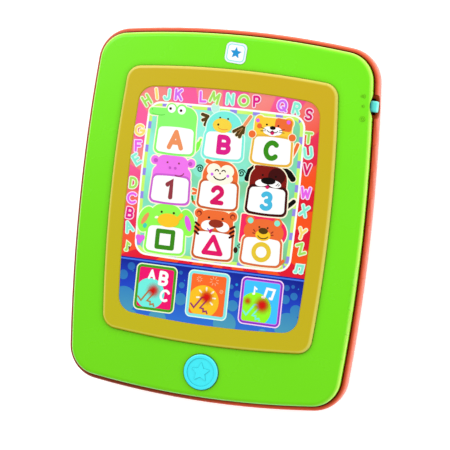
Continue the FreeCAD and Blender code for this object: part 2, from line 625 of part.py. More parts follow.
def leds():
    """Four red lamps with domed tips."""
    base = LED_BOARD_Z + LED_BOARD_THICK + FIT
    lamps = []
    for x, y in LED_SPOTS:
        stem = disc(x, y, base, base + 2.4, LED_R)
        dome = Part.makeSphere(LED_R, V(x, y, base + 2.4))
        collar = disc(x, y, base, base + 0.6, LED_R + 0.3)
        lamps.append(fuse_all([stem, dome, collar]))
    return Part.makeCompound(lamps)


# ---- speaker ------------------------------------------------------------
def speaker_screw_spots():
    """Three screws round the speaker."""
    spots = []
    for i in range(3):
        angle = math.pi / 2 + i * 2 * math.pi / 3
        spots.append(((SPEAKER_R + 4.4) * math.cos(angle), SPEAKER_Y + (SPEAKER_R + 4.4) * math.sin(angle)))
    return spots


def speaker_frame():
    """Pressed basket of the speaker."""
    z0 = FLOOR_Z + FIT
    flange = tube(0, SPEAKER_Y, z0, z0 + 1.4, SPEAKER_R, SPEAKER_R - 2.6)
    outer = Part.makeCone(SPEAKER_R - 1.6, 10.5, 6.0, V(0, SPEAKER_Y, z0 + 1.0))
    inner = Part.makeCone(SPEAKER_R - 2.6, 9.5, 6.4, V(0, SPEAKER_Y, z0 + 0.6))
    basket = outer.cut(inner)
    roof = tube(0, SPEAKER_Y, z0 + BASKET_HEIGHT - 1.0, z0 + BASKET_HEIGHT, 11.6, 5.4)
    return fuse_all([flange, basket, roof])


def speaker_magnet():
    """Ring magnet on the back of the basket."""
    z0 = FLOOR_Z + FIT + BASKET_HEIGHT + FIT
    return round_loop(disc(0, SPEAKER_Y, z0, z0 + 4.0, 9.0), z0 + 4.0, 0.6)


def speaker_cone():
    """Paper cone with its rolled edge and dust cap."""
    z0 = FLOOR_Z + FIT + 0.5
    outer = Part.makeCone(SPEAKER_R - 3.6, 5.0, 4.6, V(0, SPEAKER_Y, z0))
    inner = Part.makeCone(SPEAKER_R - 4.2, 4.4, 4.6, V(0, SPEAKER_Y, z0 - 0.3))
    coil = disc(0, SPEAKER_Y, z0 + 3.4, z0 + 5.4, 4.9)
    return fuse_all([outer.cut(inner), coil])


def speaker_retainer():
    """Clamp ring with three ears that holds the speaker down."""
    z0 = CLAMP_Z + FIT
    ring = tube(0, SPEAKER_Y, z0, z0 + CLAMP_THICK, SPEAKER_R + 1.6, 14.0)
    ears = [disc(x, y, z0, z0 + CLAMP_THICK, 3.0) for x, y in speaker_screw_spots()]
    wall = tube(0, SPEAKER_Y, FLOOR_Z + FIT + 1.4 + FIT, z0 + 0.5, SPEAKER_R - 0.1, SPEAKER_R - 1.3)
    ring = fuse_all([ring, wall] + ears)
    hole_r = BOARD_SCREW[0] + BOARD_HOLE
    return cut_all(ring, [disc(x, y, z0 - 1, z0 + 3, hole_r) for x, y in speaker_screw_spots()])


def speaker_screws():
    """Three screws through the speaker's clamp ring."""
    top = CLAMP_Z + CLAMP_THICK + 2 * FIT
    return Part.makeCompound([upright_screw(x, y, top, 5.0) for x, y in speaker_screw_spots()])


# ---- power --------------------------------------------------------------
def battery_cell(row):
    """AAA cell lying along X; row counts from the middle cell, which faces the other way."""
    y = BATTERY_Y + row * CELL_PITCH
    sign = 1 if row == 0 else -1
    x0 = -sign * (CELL_LENGTH / 2 - 1)
    can = Part.makeCylinder(CELL_R, CELL_LENGTH - 1.2, V(x0, y, CELL_Z), V(sign, 0, 0))
    ends = [e for e in can.Edges if e.BoundBox.XLength < 1e-4]
    can = can.makeFillet(0.5, ends)
    tip = Part.makeCylinder(1.9, 2.0, V(x0 + sign * (CELL_LENGTH - 2.0), y, CELL_Z), V(sign, 0, 0))
    return fuse_all([can, tip])


def battery_springs():
    """Coiled contact at the flat end of each cell, of eight-sided wire."""
    wire_r = 0.3
    turn_r = 3.0
    wall_x = BAY_HALF_X - 0.6
    length = wall_x - (CELL_LENGTH / 2 - 1 + 2 * FIT) - 2 * wire_r
    helix = Part.makeHelix(length / 3.0, length, turn_r)
    corners = []
    for i in range(8):
        angle = 0.2 + i * math.pi / 4
        corners.append(V(turn_r + wire_r * math.cos(angle), 0, wire_r * math.sin(angle)))
    section = Part.makePolygon(corners + [corners[0]])
    coils = []
    for row in (-1, 0, 1):
        coil = Part.Wire(helix).makePipeShell([section], True, True)
        coil.rotate(V(0, 0, 0), V(0, 1, 0), 90)
        coil.translate(V(wire_r - wall_x, 0, 0))
        if row != 0:
            coil.rotate(V(0, 0, 0), V(0, 0, 1), 180)
        coil.translate(V(0, BATTERY_Y + row * CELL_PITCH, CELL_Z))
        coils.append(coil)
    return Part.makeCompound(coils)


def battery_plates():
    """Sprung-steel contact plates at both ends of the bay."""
    plates = []
    for side in (-1, 1):
        x0 = side * (BAY_HALF_X - FIT)
        x1 = side * (BAY_HALF_X - FIT - 0.35)
        for row in (-1, 0, 1):
            y = BATTERY_Y + row * CELL_PITCH
            plates.append(block(min(x0, x1), max(x0, x1), y - 4.4, y + 4.4, 3.6, 12.4))
    return Part.makeCompound(plates)


def battery_door():
    """Cover of the battery bay with two screw holes and finger grooves."""
    y0 = BATTERY_Y - DOOR_HALF_Y
    y1 = BATTERY_Y + DOOR_HALF_Y
    door = soft_block(-DOOR_HALF_X, DOOR_HALF_X, y0, y1, BACK_Z, BACK_Z + DOOR_THICK, 4.0)
    half_x = BAY_HALF_X - 0.3
    half_y = BAY_HALF_Y - 0.3
    rib = block(-half_x, half_x, BATTERY_Y - half_y, BATTERY_Y + half_y,
                BACK_Z + 0.5, BACK_Z + DOOR_THICK + DOOR_RIB)
    door = fuse_all([door, rib])
    cuts = []
    for side in (-1, 1):
        x = side * DOOR_SCREW_X
        cuts.append(disc(x, BATTERY_Y, 0, 5, DOOR_SCREW_R + 0.1))
        cuts.append(Part.makeCone(DOOR_HEAD_R + 0.1, DOOR_SCREW_R + 0.1, 1.0, V(x, BATTERY_Y, BACK_Z)))
    for i in range(5):
        y = BATTERY_Y - 6.0 + i * 3.0
        cuts.append(block(-12.0, 12.0, y - 0.5, y + 0.5, 0, BACK_Z + 0.4))
    return cut_all(door, cuts)


def door_foam_pad():
    """Foam strip inside the door that stops the cells rattling."""
    z0 = BACK_Z + DOOR_THICK + DOOR_RIB + FIT / 2
    return soft_block(-9.0, 9.0, BATTERY_Y - 14.0, BATTERY_Y + 14.0, z0, CELL_Z - CELL_R - FIT, 2.0)


def door_screw(side):
    """Countersunk screw that holds the door."""
    x = side * DOOR_SCREW_X
    head = Part.makeCone(DOOR_HEAD_R, DOOR_SCREW_R, 1.0, V(x, BATTERY_Y, BACK_Z + FIT))
    shank = disc(x, BATTERY_Y, BACK_Z + 0.8, 9.0, DOOR_SCREW_R)
    bar_x = block(x - 1.8, x + 1.8, BATTERY_Y - 0.35, BATTERY_Y + 0.35, 0, BACK_Z + 0.85)
    bar_y = block(x - 0.35, x + 0.35, BATTERY_Y - 1.8, BATTERY_Y + 1.8, 0, BACK_Z + 0.85)
    return head.fuse(shank).cut(bar_x).cut(bar_y)


# ---- wiring -------------------------------------------------------------
def speaker_wires():
    """Two wires from the speaker to the main board."""
    top = PCB_Z + PCB_THICK + WIRE_R + 2 * FIT
    runs = []
    for i in range(2):
        x = -12.5 - i * 2.2
        runs.append(wire_run([(x, 44.5, 11.2), (x, 36.0, 12.4), (x, 30.0, 12.4), (x, 25.0, top)], WIRE_R))
    return Part.makeCompound(runs)


def battery_wires():
    """Two wires from the battery bay to the main board."""
    top = PCB_Z + PCB_THICK + WIRE_R + 2 * FIT
    runs = []
    for i in range(2):
        x = 31.0 + i * 2.2
        runs.append(wire_run([(x, -40.0, 12.0), (x, -32.0, 13.0), (x, -24.0, 13.0), (x, -17.5, top)], WIRE_R))
    return Part.makeCompound(runs)


NODES = {
    "rear_casing": rear_casing,
    "front_casing": front_casing,
    "casing_screws": casing_screws,
    "rubber_feet": rubber_feet,
    "badge_sticker": badge_sticker,
    "screen_bezel": screen_bezel,
    "printed_overlay": lambda: sheet(0),
    "membrane_top": lambda: sheet(1),
    "membrane_spacer": membrane_spacer,
    "membrane_bottom": lambda: sheet(3),
    "membrane_tail": membrane_tail,
    "backing_plate": backing_plate,
    "plate_screws": plate_screws,
    "home_button": home_button,
    "button_dome": button_dome,
    "button_board": button_board,
    "button_board_screws": button_board_screws,
    "switch_escutcheon": switch_escutcheon,
    "slide_knob": slide_knob,
    "slide_switch_body": slide_switch_body,
    "switch_slider": switch_slider,
    "switch_screws": switch_screws,
    "main_pcb": main_pcb,
    "pcb_screws": pcb_screws,
    "ic_blob": ic_blob,
    "pcb_components": pcb_components,
    "led_board": led_board,
    "leds": leds,
    "speaker_frame": speaker_frame,
    "speaker_magnet": speaker_magnet,
    "speaker_cone": speaker_cone,
    "speaker_retainer": speaker_retainer,
    "speaker_screws": speaker_screws,
    "battery_upper": lambda: battery_cell(1),
    "battery_middle": lambda: battery_cell(0),
    "battery_lower": lambda: battery_cell(-1),
    "battery_springs": battery_springs,
    "battery_plates": battery_plates,
    "battery_door": battery_door,
    "door_foam_pad": door_foam_pad,
    "door_screw_left": lambda: door_screw(-1),
    "door_screw_right": lambda: door_screw(1),
    "speaker_wires": speaker_wires,
    "battery_wires": battery_wires,
}

os.makedirs("parts", exist_ok=True)
for name, make in NODES.items():
    shape = make()
    shape.exportStep("parts/" + name + ".step")
    print(name, len(shape.Solids), "solids", round(shape.Volume, 1), "mm3", shape.isValid())
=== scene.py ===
import json
import math

import bmesh
import bpy
from mathutils import Matrix, Vector


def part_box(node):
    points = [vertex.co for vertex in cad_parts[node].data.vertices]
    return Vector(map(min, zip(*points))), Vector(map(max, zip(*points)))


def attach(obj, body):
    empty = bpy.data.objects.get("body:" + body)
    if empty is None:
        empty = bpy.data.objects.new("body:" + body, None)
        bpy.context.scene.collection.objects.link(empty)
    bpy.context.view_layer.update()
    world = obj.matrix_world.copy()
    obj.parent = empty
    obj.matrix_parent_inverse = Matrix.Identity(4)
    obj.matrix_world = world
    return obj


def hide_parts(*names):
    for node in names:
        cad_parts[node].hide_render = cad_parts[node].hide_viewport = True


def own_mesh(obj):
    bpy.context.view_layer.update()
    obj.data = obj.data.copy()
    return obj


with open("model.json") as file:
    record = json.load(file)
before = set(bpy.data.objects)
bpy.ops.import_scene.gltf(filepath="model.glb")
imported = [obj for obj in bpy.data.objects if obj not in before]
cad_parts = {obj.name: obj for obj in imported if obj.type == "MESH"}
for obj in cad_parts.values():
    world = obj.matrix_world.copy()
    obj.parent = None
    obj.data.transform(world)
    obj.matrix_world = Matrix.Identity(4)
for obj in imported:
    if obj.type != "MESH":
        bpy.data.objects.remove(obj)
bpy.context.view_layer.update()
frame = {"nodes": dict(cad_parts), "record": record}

MM = 0.001

# ---- places taken from the frame, in millimetres ----
overlay_low, overlay_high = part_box("printed_overlay")
PRINT_Z = overlay_high.z / MM  # face that the ink lies on
badge_low, badge_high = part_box("badge_sticker")
BADGE_X = (badge_low.x + badge_high.x) / 2 / MM
BADGE_Y = (badge_low.y + badge_high.y) / 2 / MM
BADGE_Z = badge_high.z / MM
INK_STEP = 0.03  # height between ink layers
INK_THICK = 0.018
LAYER_LIFT = 0.0008  # between shapes of one layer
FIRST_LIFT = 0.004  # of the first picture above its face
PICTURE_LIFT = 0.0006  # from one picture to the next
LAMP_LAYER = 12  # above every other ink
DASH_PITCH = 15.2  # from one violet dash to the next
BAND_FALL = 38.0  # height over which the band grows lighter
PRINT_DOTS = 2600.0  # fine dots of the print, per metre

# Surroundings, key light and camera; places and sizes in metres.
AMBIENT = 0.92  # brightness of the pale surroundings
GLOSS_SHARE = 0.14  # part of it that shows in reflections
BRIGHT_WAY = (0.35, 0.5, 0.0)  # brighter towards the top right
KEY_PLACE = (-0.75, 0.55, 0.95)
KEY_SIZE = (0.7, 0.9)
KEY_POWER = 6.0
CAMERA_PLACE = (0.3157, 0.0537, 1.0818)
CAMERA_FORWARD = (-0.2803, -0.0528, -0.9584)
CAMERA_UP = (-0.1153, 0.9931, -0.0210)
CAMERA_LENS = 138.2

# Window of the bezel: half width, half height, side bow, end bow, corner radius, centre y.
SHEET_MARGIN = 1.5
WINDOW_W = (overlay_high.x - overlay_low.x) / 2 / MM - SHEET_MARGIN
WINDOW_H = (overlay_high.y - overlay_low.y) / 2 / MM - SHEET_MARGIN
WINDOW_Y = (overlay_high.y + overlay_low.y) / 2 / MM
WINDOW = (WINDOW_W, WINDOW_H, 2.8, 3.2, 10.6, WINDOW_Y)

# Outlines of the casing halves and of the bezel, in the same order.
FRONT_EDGE = (94.9, 117.1, 5.9, 7.7, 18.8, -0.3)
REAR_EDGE = (98.3, 120.5, 6.2, 8.2, 22.2, -0.3)
BEZEL_EDGE = (73.9, 89.0, 4.3, 4.2, 9.7, 5.7)

PANEL = (53.5, 50.6, 1.2, 0.9, 8.6, 19.8)  # white-edged panel behind the cards
PANEL_X = -0.8
BAND_TOP = -32.5  # blue band starts here
CARD_X = (-33.1, -0.6, 31.7)
CARD_Y = (45.8, 14.0, -18.5)  # middles of the white cards, top row first
CARD_W = 13.6  # half width of a card
CARD_H = 9.1  # half height
KEY_X = (-36.2, -0.6, 35.0)
KEY_Y = -50.7
KEY_W = 14.1
KEY_H = 15.3


# ---- colours ----
def rgb(r, g, b):
    """Linear colour from the usual 0-255 values."""
    out = []
    for value in (r, g, b):
        c = value / 255
        out.append(c / 12.92 if c <= 0.04045 else ((c + 0.055) / 1.055) ** 2.4)
    return (out[0], out[1], out[2], 1.0)


# ---- node helpers ----
class Tree:
    """Short way to add nodes to a tree."""

    def __init__(self, tree):
        self.tree = tree

    def add(self, kind, **settings):
        node = self.tree.nodes.new(kind)
        for key, value in settings.items():
            if hasattr(node, key):
                setattr(node, key, value)
            else:
                node.inputs[key.replace("_", " ")].default_value = value
        return node

    def link(self, source, target):
        self.tree.links.new(source, target)

    def fill(self, node, values):
        """Links or sets the numbered inputs of a node."""
        for socket, value in values.items():
            if hasattr(value, "links"):
                self.link(value, node.inputs[socket])
            else:
                node.inputs[socket].default_value = value

    def maths(self, kind, a, b=0.0):
        node = self.add("ShaderNodeMath", operation=kind)
        self.fill(node, {0: a, 1: b})
        return node.outputs[0]

    def plus(self, a, b):
        return self.maths("ADD", a, b)

    def minus(self, a, b):
        return self.maths("SUBTRACT", a, b)

    def times(self, a, b):
        return self.maths("MULTIPLY", a, b)


class Nodes(Tree):
    """Node material, new or already made."""

    def __init__(self, name, material=None):
        self.mat = material or bpy.data.materials.new(name)
        self.mat.use_nodes = True
        super().__init__(self.mat.node_tree)
        self.bsdf = self.tree.nodes["Principled BSDF"]
        self.out = self.tree.nodes["Material Output"]

    def set(self, **values):
        for key, value in values.items():
            self.bsdf.inputs[key.replace("_", " ")].default_value = value

    def geometry(self, what="Position"):
        return self.add("ShaderNodeNewGeometry").outputs[what]

    def xyz(self, what="Position"):
        """The three parts of the place or of the normal."""
        node = self.add("ShaderNodeSeparateXYZ")
        self.link(self.geometry(what), node.inputs["Vector"])
        return node.outputs

    def noise(self, scale, detail=3.0, where=None):
        node = self.add("ShaderNodeTexNoise", Scale=scale, Detail=detail)
        self.link(where or self.geometry(), node.inputs["Vector"])
        return node.outputs["Fac"]

    def ramp(self, factor, stops):
        """Colours, or plain numbers for a mask, at their places along the factor."""
        node = self.add("ShaderNodeValToRGB")
        points = node.color_ramp.elements
        while len(points) < len(stops):
            points.new(0.5)
        for point, (where, colour) in zip(points, stops):
            point.position = where
            point.color = colour if isinstance(colour, tuple) else (colour, colour, colour, 1.0)
        self.link(factor, node.inputs["Fac"])
        return node.outputs["Color"]

    def mix(self, factor, a, b):
        node = self.add("ShaderNodeMix", data_type="RGBA")
        self.fill(node, {0: factor, 6: a, 7: b})
        return node.outputs[2]

    def bump(self, height, strength):
        node = self.add("ShaderNodeBump", Strength=strength, Distance=0.1 * MM)
        self.link(height, node.inputs["Height"])
        self.link(node.outputs["Normal"], self.bsdf.inputs["Normal"])

    def colour(self, socket):
        self.link(socket, self.bsdf.inputs["Base Color"])

    def roughness(self, low, high, scale):
        node = self.add("ShaderNodeMapRange", To_Min=low, To_Max=high)
        self.link(self.noise(scale), node.inputs["Value"])
        self.link(node.outputs["Result"], self.bsdf.inputs["Roughness"])

    def surface(self, factor, first, second):
        """Blends two shaders into the surface."""
        both = self.add("ShaderNodeMixShader")
        self.fill(both, {0: factor, 1: first, 2: second})
        self.link(both.outputs["Shader"], self.out.inputs["Surface"])

    def clear(self):
        return self.add("ShaderNodeBsdfTransparent").outputs["BSDF"]


def shade(colour, factor):
    """Darker or lighter copy of a colour."""
    return (colour[0] * factor, colour[1] * factor, colour[2] * factor, 1.0)


# ---- finishes of the plastic, metal and soft parts ----
def bow_radii(shape):
    """Radii of the side arc and the end arc of a bowed outline."""
    half_w, half_h, side_bow, end_bow = shape[:4]
    return (half_h ** 2 + side_bow ** 2) / (2 * side_bow), (half_w ** 2 + end_bow ** 2) / (2 * end_bow)


def inward(n, at, outline):
    """Distance in from a bowed outline in metres; the outline's sizes are in the order of WINDOW."""
    metres = [value * MM for value in outline]
    half_w, half_h, _, _, corner_r, centre_y = metres
    side_r, end_r = bow_radii(metres)
    side_lean = math.asin((half_h - corner_r) / (side_r - corner_r))
    end_lean = math.asin((half_w - corner_r) / (end_r - corner_r))
    c = math.sin(side_lean + end_lean)  # the corners are a little less than square
    x = n.maths("ABSOLUTE", at["X"])
    y = n.maths("ABSOLUTE", n.minus(at["Y"], centre_y))
    gaps = []
    for along, across, radius, half in ((x, y, side_r, half_w), (y, x, end_r, half_h)):
        reach = n.maths("POWER", n.plus(along, radius - half), 2.0)
        reach = n.maths("SQRT", n.plus(reach, n.maths("POWER", across, 2.0)))
        gaps.append(n.maths("MAXIMUM", n.minus(reach, radius - corner_r), 0.0))
    g = n.maths("MAXIMUM", gaps[0], n.times(gaps[1], c))
    h = n.maths("MAXIMUM", gaps[1], n.times(gaps[0], c))
    total = n.plus(n.maths("POWER", g, 2.0), n.maths("POWER", h, 2.0))
    total = n.minus(total, n.times(n.times(g, h), 2 * c))
    return n.minus(corner_r, n.maths("SQRT", n.maths("DIVIDE", total, 1 - c * c)))


def highlight_mask(n, at, facing, rim):
    """Where the painted highlight lies on the rounded edges, found by an outline and its edge radius, or else
    by the slope of the surface.
    """
    if not rim:
        return n.ramp(n.minus(1.0, facing["Z"]), [(0.02, 0), (0.25, 0.8), (0.5, 1), (0.85, 0)])
    outline, radius = rim
    steep = n.minus(1.0, n.maths("DIVIDE", inward(n, at, outline), radius * MM))
    mask = n.ramp(steep, [(0.3, 0), (0.7, 0.7), (0.92, 1), (1.0, 0.7)])
    return n.times(mask, n.maths("GREATER_THAN", facing["Z"], 0.02))


def moulded(name, dark, light, rough=0.3, coat=0.1, edge=None, rim=None, shy=0.6,
            crease=0.6, deep=None, near=0.3):
    """Moulded plastic with painted light: darker at the lower left and lighter at the upper right with a slow
    random change of tone, a painted highlight on the edges and painted shade in the creases.

    edge is the colour of the painted highlight on the rounded edges and shy its share on the side away from
    the light.
    crease, deep and near are the strength, colour and reach of the painted shade in folds and seams.
    """
    n = Nodes(name)
    at = n.xyz()
    # Painted light: the colour goes from the dark colour at the lower left to the light one at the upper
    # right, with a slow random change of tone from the noise.
    rise = n.plus(n.times(at["Y"], 3.4), n.times(at["X"], 1.6))
    light_and_tone = n.plus(n.plus(rise, 0.3), n.times(n.noise(9.0, 2.0), 0.5))
    colour = n.mix(n.ramp(light_and_tone, [(0.0, 0), (1.0, 1)]), rgb(*dark), rgb(*light))
    # Painted highlight: the edge colour is laid on the rounded edges, strongest on the sides that face the
    # light.
    if edge:
        facing = n.xyz("Normal")
        mask = highlight_mask(n, at, facing, rim)
        side = n.plus(n.times(facing["X"], 0.5), n.times(facing["Y"], 0.8))
        lit = n.ramp(n.plus(side, 0.5), [(0.0, 0), (0.2, shy), (0.6, 1)])
        colour = n.mix(n.times(n.times(mask, lit), 0.75), colour, rgb(*edge))
    # Painted shade: the colour turns to the deep colour where the ambient occlusion finds folds, seams and
    # the foot of raised parts.
    hidden = n.add("ShaderNodeAmbientOcclusion", Distance=0.0045, samples=6)
    above = n.ramp(n.times(at["Z"], 50.0), [(0.3, 0), (0.5, crease)])  # none near the floor
    crease_shade = n.times(n.ramp(hidden.outputs["AO"], [(near, 1), (0.92, 0)]), above)
    n.colour(n.mix(crease_shade, colour, rgb(*deep) if deep else shade(rgb(*dark), 0.12)))
    n.roughness(rough * 0.85, rough * 1.2, 40.0)
    n.bump(n.noise(900.0, 4.0), 0.05)
    n.set(Coat_Roughness=0.12)
    # The coat and the specular are weaker in the painted shade.
    open_to_light = n.minus(1.0, crease_shade)
    n.link(n.times(open_to_light, coat), n.bsdf.inputs["Coat Weight"])
    n.link(n.times(open_to_light, 0.35), n.bsdf.inputs["Specular IOR Level"])
    return n.mat


def rim_shadow(material):
    """Painted brown shadow on the left and lower left of the orange rim, which lies under the front casing's
    edge.
    """
    n = Nodes(material.name, material)
    base = n.bsdf.inputs["Base Color"].links[0].from_socket
    at = n.xyz()
    reach = n.plus(n.times(at["X"], 8.0), n.times(at["Y"], 3.0))
    west = n.ramp(n.plus(reach, 0.75), [(0.0, 0.75), (0.3, 0.5), (0.6, 0)])
    upward = n.ramp(n.xyz("Normal")["Z"], [(0.1, 0), (0.6, 1)])
    n.colour(n.mix(n.times(west, upward), base, rgb(104, 44, 16)))


def metal(name, colour, rough):
    """Plated steel with fine drawn lines."""
    n = Nodes(name)
    stretch = n.add("ShaderNodeMapping", Scale=(1.0, 14.0, 1.0))
    n.link(n.geometry(), stretch.inputs["Vector"])
    lines = n.noise(900.0, 3.0, stretch.outputs["Vector"])
    n.colour(n.mix(lines, shade(rgb(*colour), 0.85), rgb(*colour)))
    n.set(Metallic=1.0, Roughness=rough)
    n.bump(lines, 0.08)
    return n.mat


def matte(name, dark, light, rough, scale, strength, sheen=0.0):
    """Rubber, foam, paper, board or film."""
    n = Nodes(name)
    n.colour(n.mix(n.noise(scale * 0.1, 3.0), rgb(*dark), rgb(*light)))
    n.set(Roughness=rough, Sheen_Weight=sheen)
    n.bump(n.noise(scale, 4.0), strength)
    return n.mat


# ---- inks and films of the print ----
def film(n):
    """Gloss film over a print; returns the finished material."""
    n.set(Roughness=0.22, Coat_Weight=0.12, Coat_Roughness=0.05, Specular_IOR_Level=0.3)
    n.bump(n.noise(700.0, 2.0), 0.02)
    return n.mat


def ink(name, colour):
    """Printed ink under a gloss film, with the slight unevenness of a print."""
    n = Nodes(name)
    base = n.mix(n.noise(60.0, 2.0), colour, shade(colour, 0.92))
    n.colour(n.mix(n.times(n.noise(PRINT_DOTS, 1.0), 0.3), base, shade(colour, 0.8)))
    return film(n)


def sunburst_print():
    """Border of the print: rays of pink and coral that turn to red towards the lower right."""
    n = Nodes("print_sunburst")
    at = n.xyz()
    x = n.minus(at["X"], 0.004)
    y = n.minus(at["Y"], -0.002)
    rays = n.maths("SINE", n.times(n.maths("ARCTAN2", y, x), 15.0))
    ray_mask = n.ramp(n.plus(n.times(rays, 6.0), 0.5), [(0.0, 0), (1.0, 1)])
    slant = n.plus(n.minus(n.times(x, 5.0), n.times(y, 9.0)), 0.60)
    deep = n.ramp(slant, [(0.0, rgb(248, 92, 156)), (0.3, rgb(238, 52, 92)), (0.6, rgb(228, 14, 44))])
    warm = n.ramp(slant, [(0.0, rgb(246, 134, 130)), (0.3, rgb(246, 92, 74)), (0.6, rgb(250, 80, 16))])
    n.colour(n.mix(n.times(n.noise(PRINT_DOTS, 1.0), 0.12), n.mix(ray_mask, deep, warm), rgb(0, 0, 0)))
    return film(n)


def panel_print():
    """Panel with soft streaks, pale aqua at the top left and greener towards the lower right."""
    n = Nodes("print_panel")
    at = n.xyz()
    streak = n.maths("SINE", n.times(n.maths("ARCTAN2", at["Y"], at["X"]), 9.0))
    lean = n.times(n.minus(at["X"], at["Y"]), 4.0)
    blend = n.plus(n.times(streak, 0.12), n.times(n.noise(55.0, 3.0), 0.7))
    blend = n.plus(blend, n.plus(lean, 0.2))
    stops = [(0.15, rgb(142, 236, 214)), (0.55, rgb(120, 212, 170)), (0.95, rgb(122, 182, 112))]
    n.colour(n.ramp(blend, stops))
    return film(n)


def dashed_print():
    """Lime edge of the panel, broken by violet dashes."""
    n = Nodes("print_dashes")
    at = n.xyz()
    x = at["X"]
    y = n.minus(at["Y"], PANEL[5] * MM)
    slope = n.times(n.maths("ABSOLUTE", y), PANEL[0] / PANEL[1])
    beside = n.maths("GREATER_THAN", n.maths("ABSOLUTE", x), slope)
    along = n.plus(n.times(beside, y), n.times(n.minus(1.0, beside), x))
    wave = n.maths("SINE", n.times(along, 2 * math.pi / (DASH_PITCH * MM)))
    soft = n.mix(n.noise(90.0, 1.0), rgb(178, 236, 66), rgb(214, 244, 130))
    n.colour(n.mix(n.ramp(wave, [(0.52, 0), (0.60, 1)]), soft, rgb(146, 134, 224)))
    return film(n)


def down_the_band(n):
    """0 at the top of the blue band and 1 at its foot."""
    return n.maths("DIVIDE", n.minus(BAND_TOP * MM, n.xyz()["Y"]), BAND_FALL * MM)


def band_print():
    """Blue band behind the keys, darker at its top, with faint cloudy patches."""
    n = Nodes("print_band")
    cloud = n.times(n.minus(n.noise(70.0, 2.0), 0.5), 0.25)
    stops = [(0.0, rgb(6, 24, 136)), (0.45, rgb(24, 62, 190)), (1.0, rgb(42, 112, 208))]
    n.colour(n.ramp(n.plus(down_the_band(n), cloud), stops))
    return film(n)


def bubble_print():
    """Teal bubbles that follow the band from dark to light."""
    n = Nodes("print_bubble")
    stops = [(0.0, rgb(26, 84, 172)), (0.45, rgb(44, 124, 188)), (1.0, rgb(72, 154, 182))]
    n.colour(n.ramp(down_the_band(n), stops))
    return film(n)


def lamp_glow(name, x, y, radius, strength):
    """Red light that spreads through the print round a lamp."""
    n = Nodes(name)
    flat = n.add("ShaderNodeVectorMath", operation="MULTIPLY")
    n.fill(flat, {0: n.geometry(), 1: (1.0, 1.0, 0.0)})
    away = n.add("ShaderNodeVectorMath", operation="DISTANCE")
    n.fill(away, {0: flat.outputs["Vector"], 1: (x * MM, y * MM, 0.0)})
    fall = n.maths("DIVIDE", away.outputs["Value"], radius * MM)
    steps = ((0.0, 1.0), (0.2, 0.88), (0.45, 0.46), (0.7, 0.16), (1.0, 0.0))
    mask = n.ramp(fall, [(where, strength * share) for where, share in steps])
    core = n.ramp(fall, [(0.0, rgb(232, 22, 24)), (0.5, rgb(224, 34, 30)), (1.0, rgb(214, 60, 46))])
    glow = n.add("ShaderNodeEmission", Strength=0.9)
    n.link(core, glow.inputs["Color"])
    n.surface(mask, n.clear(), glow.outputs["Emission"])
    return n.mat


# ---- board, battery wrap and the table of finishes ----
def board_print():
    """Green solder mask over copper tracks."""
    n = Nodes("board_laminate")
    cells = n.add("ShaderNodeTexVoronoi", feature="DISTANCE_TO_EDGE", Scale=260.0)
    n.link(n.geometry(), cells.inputs["Vector"])
    tracks = n.ramp(cells.outputs["Distance"], [(0.03, 1), (0.06, 0)])
    n.colour(n.mix(tracks, rgb(18, 96, 50), rgb(44, 138, 72)))
    n.set(Roughness=0.35, Coat_Weight=0.3)
    n.bump(tracks, 0.15)
    return n.mat


def cell_wrap():
    """Plain two-colour battery wrap."""
    n = Nodes("cell_wrap")
    along = n.plus(n.times(n.xyz()["X"], 20.0), 0.5)
    wrap = n.ramp(along, [(0.30, rgb(36, 70, 150)), (0.31, rgb(206, 208, 214))])
    n.colour(n.mix(n.times(n.noise(400.0), 0.15), wrap, rgb(0, 0, 0)))
    n.set(Roughness=0.25, Metallic=0.4, Coat_Weight=0.4)
    n.bump(n.noise(200.0), 0.03)
    return n.mat


# The colour of each plastic goes from dark at the lower left to light at the upper right as painted light,
# with a slow random change; edge is the colour of the painted highlight on rounded edges and deep that of the
# painted shade in folds and seams.
PLASTICS = {
    "orange_shell": dict(dark=(212, 72, 26), light=(230, 88, 42), rough=0.28, edge=(250, 140, 116),
                         rim=(REAR_EDGE, 2.3), crease=0.97, deep=(136, 48, 4), near=0.45),
    "green_shell": dict(dark=(108, 212, 6), light=(116, 232, 6), rough=0.26, edge=(206, 250, 96),
                        rim=(FRONT_EDGE, 3.0), shy=0.45, crease=0.88, deep=(84, 78, 2), near=0.55),
    "yellow_frame": dict(dark=(184, 178, 14), light=(200, 170, 8), rough=0.24, edge=(240, 232, 120),
                         rim=(BEZEL_EDGE, 3.2), shy=1.0, crease=0.35),
    "white_plastic": dict(dark=(214, 214, 210), light=(236, 236, 232), rough=0.5, coat=0.05),
    "cyan_plastic": dict(dark=(58, 226, 240), light=(76, 244, 246), rough=0.27, edge=(130, 252, 250)),
    "aqua_plastic": dict(dark=(62, 206, 200), light=(92, 232, 222), edge=(150, 248, 240)),
    "black_plastic": dict(dark=(10, 10, 12), light=(24, 24, 26), rough=0.45),
    "black_epoxy": dict(dark=(6, 6, 7), light=(16, 16, 17), rough=0.2, coat=0.4),
    "red_lens": dict(dark=(210, 16, 16), light=(240, 34, 26), rough=0.1, coat=0.5),
}
